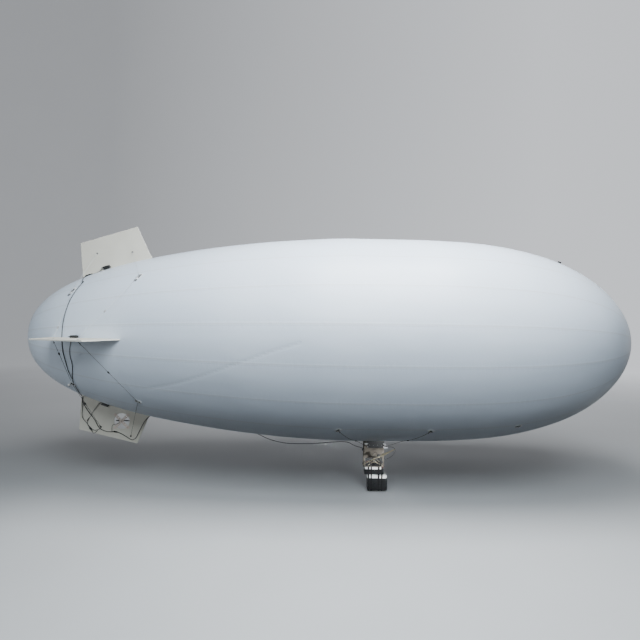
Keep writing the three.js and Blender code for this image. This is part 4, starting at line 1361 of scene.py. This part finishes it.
def wrapped_pack(low, high, cells, corner):
    """A battery in shrink wrap: round-cornered sections along X, drawn in at both ends along a
    quarter circle. Their sides dip between the cells, and the film has slow wrinkles that grow
    towards the ends."""
    half, middle = (high - low) / 2, (high + low) / 2
    long = 2 * half[0]
    near = corner * (1 - np.cos(np.linspace(0, pi / 2, 7)))
    x = np.concatenate([near, np.linspace(corner, long - corner, 48)[1:-1], long - near[::-1]])
    sections = []
    for at in x:
        depth = min(at, long - at)
        inset = corner - np.sqrt(max(corner**2 - max(corner - depth, 0) ** 2, 0)) * 0.999
        bend = corner * (0.9 if inset < corner * 0.4 else 0.5)
        section = rounded_section(half[1] - inset, half[2] - inset, bend)
        y, z = section.T
        on_side = abs(y) > (half[1] - inset) * 0.985
        groove = np.cos(((z / half[2]) + 1) / 2 * cells * pi) ** 14 * (abs(z) < half[2] * 0.93)
        wrinkle = 0.35 * MM * np.sin(210 * at + 9 * z / half[2]) * np.sin(95 * at + 5 * z / half[2] + 1)
        slack = 0.25 + 0.75 * np.exp(-depth / 0.018)
        y = y - np.sign(y) * on_side * (0.9 * MM * groove + 0.35 * MM + wrinkle * slack)
        z = z - np.sign(z) * ~on_side * (0.3 * MM + 0.3 * MM * slack * np.sin(180 * at + 60 * y))
        station = np.full(len(y), middle[0] - half[0] + at)
        sections.append(np.stack([station, middle[1] + y, middle[2] + z], -1))
    return lofted(sections)


def end_folds(low, high, at_nose):
    """The film's folded flaps at a battery's end: two tapered flaps and the pressed seam."""
    x = high[0] - 0.2 * MM if at_nose else low[0] + 0.2 * MM
    wide, tall, middle = (high[1] - low[1]) / 2, high[2] - low[2], (high[2] + low[2]) / 2
    flaps = [
        block((x, side * wide * 0.485, middle), (0.6 * MM, wide * 0.335, tall * 0.3), 0.5 * MM, 2)
        for side in (-1, 1)
    ]
    seam = block((x, 0, middle), (0.9 * MM, wide * 0.55, 1.6 * MM), 0.6 * MM, 2)
    return joined([*flaps, seam])


def add_hanger():
    """The belly pad, and under it the channel with a bead along each lower edge."""
    low, high = bounds_of("belly_pad")
    pad = rounded_box(low, (high[0], high[1], PAD_TOP), 2 * MM)
    piece("belly_pad_foam", pad, "black_pad", smooth=40, replaces="belly_pad")
    low, high = bounds_of("gondola_hanger")
    parts = [rounded_box((low[0], low[1], high[2] - HANGER_WALL), high, MM, 2)]
    for side in SIDES.values():
        outer, inner = side * high[1], side * (high[1] - HANGER_WALL)
        parts.append(rounded_box((low[0], outer, low[2]), (high[0], inner, high[2] - MM), MM, 2))
        outer, inner = side * (high[1] + 0.6 * MM), side * (high[1] - MM)
        end = (high[0] - 3 * MM, inner, low[2] + 4 * MM)
        parts.append(rounded_box((low[0] + 3 * MM, outer, low[2]), end, 0.9 * MM, 2))
    piece("hanger_channel", joined(parts), "black_moulding", smooth=40, replaces="gondola_hanger")


def add_hanger_fittings():
    """The channel's screws, and the white stops where the four lines are tied: a sleeve on the
    line and a flat block above it."""
    _, high = bounds_of("gondola_hanger")
    screws, stops = [], []
    for side in SIDES.values():
        face = side * high[1]
        for x in HANGER_SCREWS_X:
            screws.append(screw_head(2.3 * MM).placed(sideways(side), (x, face, -0.800)))
        for x in FEET_X:
            stops.append(sleeve_shape(3.4 * MM, 4.2 * MM).placed(at=(x, face + side * 2.4 * MM, -0.8125)))
            middle = (x, face + side * 0.8 * MM, -0.7895)
            stops.append(block(middle, (4 * MM, 0.8 * MM, 4 * MM), MM, 2))
    piece("hanger_screws", joined(screws), "bright_steel")
    piece("hanger_line_stops", joined(stops), "white_moulding", smooth=40)


def add_plates():
    """Each plate is a panel bored for the shaft, with two posts glued over it that run down to
    the tray, a flanged bearing, its four screws and three screws in each post."""
    for label, side in SIDES.items():
        low, high = bounds_of(f"gondola_plate_{label}")
        middle = (low[1] + high[1]) / 2
        corners = [(low[0], PLATE_SILL), (high[0], PLATE_SILL), (high[0], high[2]), (low[0], high[2])]
        panel = slab(along_edges(corners, 4 * MM), (SHAFT_X, SHAFT_Z), (high[1] - low[1]) / 2, 5.6 * MM)
        y0, y1 = middle - 1.9 * MM, middle + 1.9 * MM
        posts = [
            rounded_box((x, y0, low[2]), (x + POST_WIDE, y1, POST_TOP), 0.5 * MM, 2)
            for x in (low[0], high[0] - POST_WIDE)
        ]
        plate, node = joined([panel.placed(at=(0, middle, 0)), *posts]), f"gondola_plate_{label}"
        piece(f"side_plate_{label}", plate, "plywood", smooth=30, replaces=node)
        axes, face = sideways(side), max(abs(low[1]), abs(high[1]))
        bearing = turned(BEARING, 40, closed=True).placed(axes, (SHAFT_X, side * face, SHAFT_Z))
        piece(f"shaft_bearing_{label}", bearing, "black_moulding", smooth=35)
        heads = ring_of(screw_head(1.4 * MM), 4, 10 * MM, pi / 4)
        heads = heads.placed(axes, (SHAFT_X, side * (face + 1.2 * MM), SHAFT_Z))
        post_heads = [
            screw_head(1.8 * MM).placed(axes, (x, side * (face + 0.3 * MM), z))
            for x in (low[0] + POST_WIDE / 2, high[0] - POST_WIDE / 2)
            for z in POST_SCREWS_Z
        ]
        piece(f"side_plate_screws_{label}", joined([heads, *post_heads]), "bright_steel")


def strap_loop(x):
    """The middle line of a strap round the stack at a station: over the top, down each side
    through the stack's heights and half widths, and under the bottom."""
    over, under = STRAP_SIDE[0][0], STRAP_SIDE[-1][0]
    side = [(0, STRAP_TOP), (over * 0.6, STRAP_TOP), (over - 3 * MM, STRAP_TOP), *STRAP_SIDE]
    side += [(under - 3 * MM, STRAP_BOTTOM), (under * 0.6, STRAP_BOTTOM), (0, STRAP_BOTTOM)]
    right = smooth_path([(x, y, z) for y, z in side], 90)
    left = right[::-1] * (1, -1, 1)
    return np.concatenate([right, left[1:-1]])


def add_stack():
    """The tray, the two foam spacers, the two wrapped batteries and the four straps that hold
    them together, each with its loose end laid on it."""
    tray = rounded_box(*bounds_of("battery_tray"), 0.9 * MM)
    piece("tray_board", tray, "plywood", smooth=35, replaces="battery_tray")
    for name in ("spacer_upper", "spacer_lower"):
        foam = rounded_box(*bounds_of(name), 3.5 * MM, 4)
        piece(name + "_foam", foam, "packing_foam", smooth=50, replaces=name)
    for name, cells, corner in (("battery_upper", 3, 6 * MM), ("battery_lower", 6, 8 * MM)):
        low, high = bounds_of(name)
        wrap = wrapped_pack(low, high, cells, corner)
        wrap = wrap + end_folds(low, high, True) + end_folds(low, high, False)
        piece(name + "_pack", wrap, "shrink_wrap", smooth=45, replaces=name)
    for label, (x, wide) in STRAPS.items():
        band = swept(strap_loop(x), strip_section(wide, 1.3 * MM), side=(1, 0, 0), loop=True)
        lap = smooth_path([(x, -y - 1.2 * MM, z) for y, z in STRAP_SIDE[STRAP_LAP]], 40)
        end = swept(lap, strip_section(wide * 0.96, 1.2 * MM), side=(1, 0, 0))
        piece(f"stack_strap_{label}", band + end, "strap_web", smooth=50)


# Gondola: electronics and wiring


def finned_case(low, high, corner=1.5 * MM, fins=0):
    """A small rounded case, with fins along X on its top where it is cooled."""
    top = high[2]
    case = [rounded_box(low, (high[0], high[1], top - (1.6 * MM if fins else 0)), corner)]
    rear, front = low[0] + 9 * MM, high[0] - 9 * MM
    for y in np.linspace(low[1] + 4 * MM, high[1] - 4 * MM, fins):
        end = (front, y + 0.7 * MM, top)
        case.append(rounded_box((rear, y - 0.7 * MM, top - 3 * MM), end, 0.5 * MM, 2))
    return joined(case)


def add_electronics():
    """The receiver with its row of plugs, and two speed controllers in shrink wrap, each with its
    cooling fins and thick sleeves at both ends."""
    low, high = bounds_of("receiver")
    rear, front = high[0] - 2 * MM, high[0] + 7 * MM
    under, over = low[2] + 2 * MM, high[2] - 4 * MM
    plugs = [
        rounded_box((rear, y - 1.1 * MM, under), (front, y + 1.1 * MM, over), 0.5 * MM, 2)
        for y in np.linspace(low[1] + 4 * MM, high[1] - 4 * MM, 7)
    ]
    case = joined([finned_case(low, high), *plugs])
    piece("receiver_case", case, "black_moulding", smooth=35, replaces="receiver")
    for label in SIDES:
        name = f"speed_controller_{label}"
        low, high = bounds_of(name)
        middle = (low[1] + high[1]) / 2
        ends = [
            sleeve_shape(3 * MM, 4 * MM).placed(TO_NOSE, (x, middle + y, low[2] + 5 * MM))
            for x in (low[0], high[0])
            for y in (-5 * MM, 5 * MM)
        ]
        case = joined([finned_case(low, high, 2.5 * MM, 6), *ends])
        piece(name + "_case", case, "shrink_wrap", smooth=35, replaces=name)


# The finish of each colour of wire
JACKETS = {"black": "lead_jacket", "cream": "cream_wire", "red": "red_wire"}
# Wires between the plates: colour, radius in mm, then points in mm from the tray's top at the
# station of its tail end, on the starboard side where y is below 0
WIRES = [
    ("black", 1.5, [(20, -15, 6), (28, -24, 14), (46, -30, 22), (62, -33, 17), (70, -30, 9)]),
    ("black", 1.5, [(22, -30, 8), (30, -37, 20), (48, -38, 27), (66, -35, 20), (74, -26, 12)]),
    ("black", 1.3, [
        (58, -20, 8), (50, -28, 20), (60, -35, 31), (78, -37, 27), (92, -33, 14), (100, -28, 9),
    ]),
    ("black", 1.8, [
        (136, -20, 6), (146, -27, 12), (150, -34, 24), (140, -38, 34), (124, -38, 30), (112, -34, 16),
    ]),
    ("black", 1.8, [
        (136, -30, 6), (144, -36, 14), (142, -39, 26), (126, -39, 38), (112, -37, 44), (104, -34, 38),
        (100, -30, 14),
    ]),
    ("cream", 1.3, [
        (24, -12, 12), (38, -20, 26), (58, -34, 36), (80, -38, 40), (98, -38, 34), (110, -36, 20),
        (118, -30, 14),
    ]),
    ("cream", 1.3, [
        (30, -10, 14), (46, -26, 33), (70, -38, 45), (92, -39, 48), (112, -38, 43), (126, -36, 26),
        (132, -30, 14),
    ]),
    ("red", 1.5, [(136, 20, 6), (148, 14, 12), (152, 4, 22), (142, -6, 30), (120, -10, 28), (104, -8, 14)]),
    ("red", 1.3, [(22, 16, 8), (34, 12, 20), (52, 10, 26), (66, 18, 16), (70, 24, 8)]),
    ("black", 1.6, [(136, 30, 6), (146, 34, 16), (138, 37, 28), (118, 37, 30), (100, 34, 14)]),
    ("black", 1.4, [(40, 30, 4), (52, 36, 16), (70, 37, 24), (84, 33, 15)]),
]
WIRE_TIES = [(49, -33, 25), (94, -37, 34)]


def add_wires():
    """The bundle of wires over the tray, one piece for each colour of jacket."""
    low, high = bounds_of("battery_tray")
    origin = np.array([low[0], 0, high[2]])
    for colour, look in JACKETS.items():
        lines = [
            tube(smooth_path(origin + in_mm(*points), 40), radius * MM, 8)
            for jacket, radius, points in WIRES
            if jacket == colour
        ]
        piece(f"gondola_wires_{colour}", joined(lines), look)
    ties = [
        torus(4.2 * MM, 1.2 * MM, 20).placed(facing((1, 0.2, 0.2)), origin + in_mm(*at))
        for at in WIRE_TIES
    ]
    piece("gondola_wire_ties", joined(ties), "white_moulding")


# Wires tied along the outside of the starboard plate: jacket, radius in mm, stations and heights
PLATE_WIRES = [
    ("black", 2.6, [
        (0.283, -0.926), (0.300, -0.915), (0.318, -0.905), (0.340, -0.903), (0.362, -0.909),
        (0.381, -0.921), (0.398, -0.937), (0.409, -0.955),
    ]),
    ("black", 2.6, [
        (0.292, -0.950), (0.308, -0.934), (0.330, -0.918), (0.352, -0.913), (0.374, -0.922),
        (0.391, -0.940), (0.396, -0.955),
    ]),
    ("black", 2.2, [
        (0.306, -0.900), (0.318, -0.888), (0.334, -0.886), (0.345, -0.897), (0.343, -0.915),
        (0.330, -0.934), (0.322, -0.952),
    ]),
    ("black", 1.4, [(0.345, -0.872), (0.352, -0.858), (0.366, -0.853), (0.374, -0.862)]),
    ("cream", 1.7, [
        (0.312, -0.952), (0.330, -0.938), (0.350, -0.930), (0.368, -0.931), (0.384, -0.938),
        (0.404, -0.946), (0.420, -0.955),
    ]),
    ("cream", 1.5, [(0.322, -0.925), (0.336, -0.912), (0.353, -0.901), (0.368, -0.899)]),
]
PLATE_WIRE_Y = 0.0490
FRONT_LOOP = [
    (0.424, -0.824), (0.450, -0.817), (0.482, -0.813), (0.503, -0.821), (0.513, -0.842),
    (0.502, -0.866), (0.478, -0.890), (0.450, -0.904), (0.424, -0.912),
]
FRONT_LOOP_Y = 0.0465
CLIP_AT = (0.276, -0.030, -0.829)
# The white tabs on each side: low and high corners
HANGER_TABS = [
    ((0.427, 0.0495, -0.8245), (0.458, 0.0530, -0.8135)),
    ((0.4285, 0.0490, -0.8015), (0.4430, 0.0530, -0.7840)),
    ((0.281, 0.0490, -0.7960), (0.300, 0.0530, -0.7850)),
]


def add_plate_wires():
    """The tied bundle on the starboard plate, whose wires go in between the plates at both ends,
    and the stiff wire hoop ahead of it."""
    lines = {"black": [], "cream": []}
    for k, (colour, radius, points) in enumerate(PLATE_WIRES):
        out = PLATE_WIRE_Y + k % 2 * 1.5 * MM
        depth = [out - 8 * MM, *[out] * len(points), out - 8 * MM]
        route = [(x, -y, z) for y, (x, z) in zip(depth, [points[0], *points, points[-1]])]
        lines[colour].append(tube(smooth_path(route, 48), radius * MM, 8))
    for colour, wires in lines.items():
        piece(f"plate_wires_{colour}", joined(wires), JACKETS[colour])
    hoop = smooth_path([(x, -FRONT_LOOP_Y, z) for x, z in FRONT_LOOP], 80)
    piece("front_hoop", tube(hoop, 1.9 * MM), "lead_jacket")


def add_clip_and_tabs():
    """The clip where the belly lead comes in, and the white cord tabs at the hanger's corners."""
    slant = unit([0.54, 0, 0.84])
    axes = np.stack([slant, [0, 1, 0], np.cross(slant, [0, 1, 0])])
    clip = rounded_box((-0.021, -4 * MM, -4.5 * MM), (0.021, 4 * MM, 4.5 * MM), 1.5 * MM)
    piece("belly_lead_clip", clip.placed(axes, CLIP_AT), "black_moulding", smooth=35)
    tabs = [
        rounded_box(np.multiply(low, (1, side, 1)), np.multiply(high, (1, side, 1)), 1.2 * MM)
        for side in SIDES.values()
        for low, high in HANGER_TABS
    ]
    piece("hanger_tabs", joined(tabs), "white_web", smooth=40)


# Each battery's pair of leads, from its port side up over the tray's edge
BATTERY_LEADS = {
    "battery_upper": [
        (0.300, 0.037, -1.006), (0.300, 0.0445, -1.003), (0.3005, 0.0500, -0.985), (0.302, 0.0535, -0.968),
        (0.306, 0.0525, -0.9565), (0.311, 0.045, -0.953), (0.316, 0.033, -0.955),
    ],
    "battery_lower": [
        (0.441, 0.043, -1.100), (0.441, 0.0495, -1.096), (0.4405, 0.0505, -1.060), (0.437, 0.0475, -1.025),
        (0.434, 0.0480, -0.990), (0.427, 0.0535, -0.968), (0.417, 0.0535, -0.9565), (0.408, 0.045, -0.953),
        (0.400, 0.034, -0.955),
    ],
}


def add_battery_leads():
    """A red and a black lead side by side from each battery."""
    for name, points in BATTERY_LEADS.items():
        for look, shift in (("red_wire", -2.2 * MM), ("lead_jacket", 2.2 * MM)):
            path = smooth_path(np.array(points) + (shift, 0, 0), 60)
            piece(f"{name}_{look}", tube(path, 1.7 * MM), look)


# Thrusters

TILT_TURN = radians(-26.6)
POD_Y = 0.200
SERVO_GEAR_X = 0.3615
SHAFT_END, SHAFT_PLUG = 0.209, 0.192  # the tube's end, and how far in it is open
SHAFT_RADIUS, SHAFT_BORE = 5 * MM, 3.6 * MM
COLLAR = in_mm((4.8, 48.3), (8, 48.3), (8, 54), (4.8, 54))
# Radius and height of the motor's plate, over the shaft
MOTOR_PLATE = in_mm((0, 9.2), (12.8, 9.2), (13.6, 9.7), (13.6, 10.6), (0, 10.6))
ROTOR_Z, NUT_Z = 0.0326, 0.0416
WASHER = in_mm((0, -0.4), (5.5, -0.4), (5.5, 0.5), (0, 0.5))
# Where each motor's outer wires leave its base: station, distance to the side, height
WIRE_START = in_mm((4, 187.5, 12.8), (3.5, 183.5, 11.8), (3, 177, 7.5))


def about_y(profile, sides=40, closed=False):
    """A lathe shape about the Y axis."""
    return turned(profile, sides, closed).placed(TO_PORT)


def gear_outline(teeth, tip, root):
    """Points round a gear: each tooth rises from the root to a narrower tip and falls again."""
    steps = np.array([0.0, 0.18, 0.30, 0.50, 0.62, 0.80])
    radius = np.array([root, root, tip, tip, root, root])
    angle = (np.arange(teeth)[:, None] + steps) / teeth * tau
    return np.stack([radius * np.cos(angle), radius * np.sin(angle)], -1).reshape(-1, 2)


def gear_shape(teeth, tip, root, low, high, bore, boss):
    """A gear about Y: the toothed wheel from low to high and a raised boss on each side."""
    half = (high - low) / 2
    wheel = slab(gear_outline(teeth, tip, root), (0, 0), half, bore, rows=4)
    end = half + 1.2 * MM
    ring = about_y([(bore, -end), (boss, -end), (boss, end), (bore, end)], 28, closed=True)
    return (wheel + ring).placed(at=(0, (low + high) / 2, 0))


def on_tilt(shape):
    """A shape in the shaft's own frame, brought to its rest turn and place."""
    return shape.placed(turned_about_y(TILT_TURN), SHAFT_AT)


def clamp_shape(middle):
    """A pod's clamp: a split block round the shaft, with the motor's plate."""
    half, long = 0.010, 0.013
    lower = rounded_box((-half, middle - long, -half), (half, middle + long, -0.5 * MM), 1.2 * MM, 2)
    upper = rounded_box((-half, middle - long, 0.5 * MM), (half, middle + long, half), 1.2 * MM, 2)
    plate = turned(MOTOR_PLATE, 40).placed(at=(0, middle, 0))
    return joined([lower, upper, plate])


def motor_wires(side):
    """Three wires from a motor's base down over its clamp and along the shaft to the plate,
    wound once round it on the way."""
    y = side * np.linspace(0.170, 0.064, 40)
    wires = []
    for k in (-1, 0, 1):
        angle = pi / 2 + 0.30 * k + np.linspace(0, tau, 40)
        round_shaft = np.stack([6.3 * MM * np.cos(angle), y, 6.3 * MM * np.sin(angle)], -1)
        path = smooth_path(np.vstack([WIRE_START * (k, side, 1), round_shaft]), 110)
        wires.append(tube(path, 1.1 * MM, 8))
    return joined(wires)


def add_shaft():
    """The shaft, a tube plugged a little way in from each end, with all that is fixed on it: the
    pods' clamps, the gear, the collars at the plates, the clamps' screws and the motors' wires."""
    half = [(0, SHAFT_PLUG), (SHAFT_BORE, SHAFT_PLUG), (SHAFT_BORE, SHAFT_END), (SHAFT_RADIUS, SHAFT_END)]
    shaft = about_y([*((radius, -y) for radius, y in half), *half[::-1]])
    clamps = joined(clamp_shape(side * POD_Y) for side in SIDES.values())
    gear = gear_shape(16, 16.6 * MM, 14.6 * MM, -8 * MM, -2 * MM, 4.8 * MM, 8.5 * MM)
    collars = joined(about_y(COLLAR * (1, side), 32, closed=True) for side in SIDES.values())
    screws = joined(
        screw_head(1.5 * MM).placed(np.diag([1.0, -1.0, -1.0]), (x, side * POD_Y + y, -0.010))
        for side in SIDES.values()
        for x in (-7 * MM, 7 * MM)
        for y in (-8 * MM, 8 * MM)
    )
    wires = joined(motor_wires(side) for side in SIDES.values())
    body = "thruster_tilt"
    piece("thruster_shaft", on_tilt(shaft), "carbon_tube", body, smooth=40, replaces="tilt_shaft")
    piece("pod_clamps", on_tilt(clamps), "black_moulding", body, smooth=35)
    piece("shaft_gear", on_tilt(gear), "white_moulding", body, smooth=30)
    piece("shaft_collars", on_tilt(collars), "motor_can", body, smooth=35)
    piece("pod_clamp_screws", on_tilt(screws), "bright_steel", body)
    piece("motor_wires", on_tilt(wires), "lead_jacket", body)


def add_pods():
    """Each pod's motor, and on it the propeller with a washer and a nut, which turn freely."""
    rotor = propeller_shape(*THRUST_BLADES)
    nut = nut_shape(8 * MM, 4 * MM, 1.6 * MM) + turned(WASHER, 32)
    for label, side in SIDES.items():
        y = side * POD_Y
        motor = on_tilt(motor_shape(0.014, 0.0103, 0.032).placed(at=(0, y, 0)))
        blades = on_tilt(rotor.placed(at=(0, y, ROTOR_Z)))
        top = on_tilt(nut.placed(at=(0, y, NUT_Z)))
        node, body = f"thrust_motor_{label}", "thruster_tilt"
        piece(f"thrust_motor_can_{label}", motor, "motor_can", body, smooth=35, replaces=node)
        node, body = f"thrust_rotor_{label}", f"rotor_{label}"
        piece(f"thrust_propeller_{label}", blades, "cream_moulding", body, smooth=40, replaces=node)
        piece(f"propeller_nut_{label}", top, "bright_steel", body, smooth=30)


def add_servo():
    """The tilt servo: a case of three parts with seams between them, two ears, the boss round its
    output, and the wheel with its stub on that."""
    low, high = bounds_of("tilt_servo")
    seam = 0.2 * MM
    front, back = low[1] + 9 * MM, high[1] - 8 * MM
    case = [
        rounded_box(low, (high[0], front, high[2]), 1.2 * MM),
        rounded_box(low + seam + (0, 9 * MM, 0), (high[0] - seam, back, high[2] - seam), MM),
        rounded_box((low[0], back - seam, low[2]), high, 1.2 * MM),
    ]
    ears = [
        rounded_box((x0, low[1] + 10 * MM, low[2] + MM), (x1, low[1] + 12.6 * MM, high[2] - MM), MM, 2)
        for x0, x1 in ((low[0] - 7 * MM, low[0] + MM), (high[0] - MM, high[0] + 5 * MM))
    ]
    boss = about_y(in_mm((0, -3.6), (5, -3.6), (6, 1), (0, 1)), 32)
    boss = boss.placed(at=(SERVO_GEAR_X, low[1], SHAFT_Z))
    servo = joined([*case, *ears, boss])
    piece("servo_case", servo, "black_moulding", smooth=35, replaces="tilt_servo")
    gear = gear_shape(12, 12.6 * MM, 10.6 * MM, -8 * MM, -2 * MM, 1.2 * MM, 5 * MM)
    stub = about_y(in_mm((0, -10.4), (2.6, -10.4), (2.6, 3.4), (0, 3.4)), 24)
    wheel = (gear + stub).placed(at=(SERVO_GEAR_X, 0, SHAFT_Z))
    piece(
        "servo_wheel", wheel, "white_moulding", "servo_drive",
        smooth=30, replaces="servo_gear",
    )


add_hanger()
add_hanger_fittings()
add_plates()
add_stack()
add_electronics()
add_wires()
add_plate_wires()
add_clip_and_tabs()
add_battery_leads()
add_shaft()
add_pods()
add_servo()

# Floor and light

FLOOR_Z = -1.16
# Each lamp: place, the point that it is aimed at, size, watts, colour, spread in degrees
LAMPS = {
    "roof_light": ((0.55, -1.10, 2.2), (0.25, 0, 0), (1.8, 1.6), 158, (0.96, 0.985, 1.0), 180),
    "front_fill": ((0.35, -3.7, 2.5), (0.1, 0, 0), (3.2, 2.2), 222, (0.86, 0.945, 1.0), 180),
    "tail_fill": ((-4.1, -2.9, 0.1), (-1.95, 0, -0.4), (1.2, 1.0), 3.0, (0.90, 0.96, 1.0), 45),
    "low_fill": ((1.5, -2.7, -0.75), (0.39, 0, -0.995), (0.3, 0.2), 0.5, (0.92, 0.97, 1.0), 8),
}


def add_stage():
    """A wide pale floor that curves up behind into a wall, a profile drawn along X. It glows, more
    so towards the wall and towards the nose."""
    made = mottled("studio_floor", (0.56, 0.57, 0.58), (0.60, 0.61, 0.62), 0.8, (0.7, 0.85), 40, 0.0005)
    place = made.add("SeparateXYZ", {"Vector": made.place}).outputs
    made.shader.inputs["Emission Color"].default_value = (0.92, 0.95, 1.0, 1)
    glow = made.reach(place["X"], -7.0, 7.0, 0.34, 0.82)
    made.link("Emission Strength", made.math("MULTIPLY", made.reach(place["Y"], 0.0, 9.0), glow))
    bend = [(9 + 3 * sin(a), FLOOR_Z + 3 - 3 * cos(a)) for a in np.linspace(0, pi / 2, 12)]
    profile = np.array([(-14, FLOOR_Z), *bend, (12, 16)])
    x = np.array([-26.0, 26.0])
    points = np.stack(np.broadcast_arrays(x[None], profile[:, :1], profile[:, 1:]), -1)
    faces = net(len(profile), 2, wrap_columns=False)[:, ::-1]
    mesh = bpy.data.meshes.new("studio_floor")
    mesh.from_pydata(points.reshape(-1, 3).tolist(), [], faces.tolist())
    mesh.polygons.foreach_set("use_smooth", np.ones(len(mesh.polygons), bool))
    mesh.materials.append(made.material)
    floor = bpy.data.objects.new("studio_floor", mesh)
    bpy.context.scene.collection.objects.link(floor)
    floor.visible_diffuse = False


def add_lamp(name, at, aim, size, power, colour, spread):
    """A soft rectangular lamp at a point, aimed at another."""
    lamp = bpy.data.lights.new(name, "AREA")
    lamp.shape, lamp.size, lamp.size_y = "RECTANGLE", size[0], size[1]
    lamp.energy, lamp.color, lamp.spread = power, colour, radians(spread)
    made = bpy.data.objects.new(name, lamp)
    back = unit(np.subtract(at, aim))
    right = unit(np.cross([0, 1, 0.01], back))
    made.matrix_world = matrix_of(right, np.cross(back, right), back, at)
    bpy.context.scene.collection.objects.link(made)


def add_lights():
    """A large lamp over the envelope and one in front, two small ones for the tail's and the
    gondola's undersides, and a faint even sky."""
    for name, settings in LAMPS.items():
        add_lamp(name, *settings)
    world = bpy.data.worlds.new("studio")
    world.use_nodes = True
    sky = world.node_tree.nodes["Background"]
    sky.inputs["Color"].default_value = (0.93, 0.96, 1.0, 1)
    sky.inputs["Strength"].default_value = 0.05
    bpy.context.scene.world = world


add_stage()
add_lights()
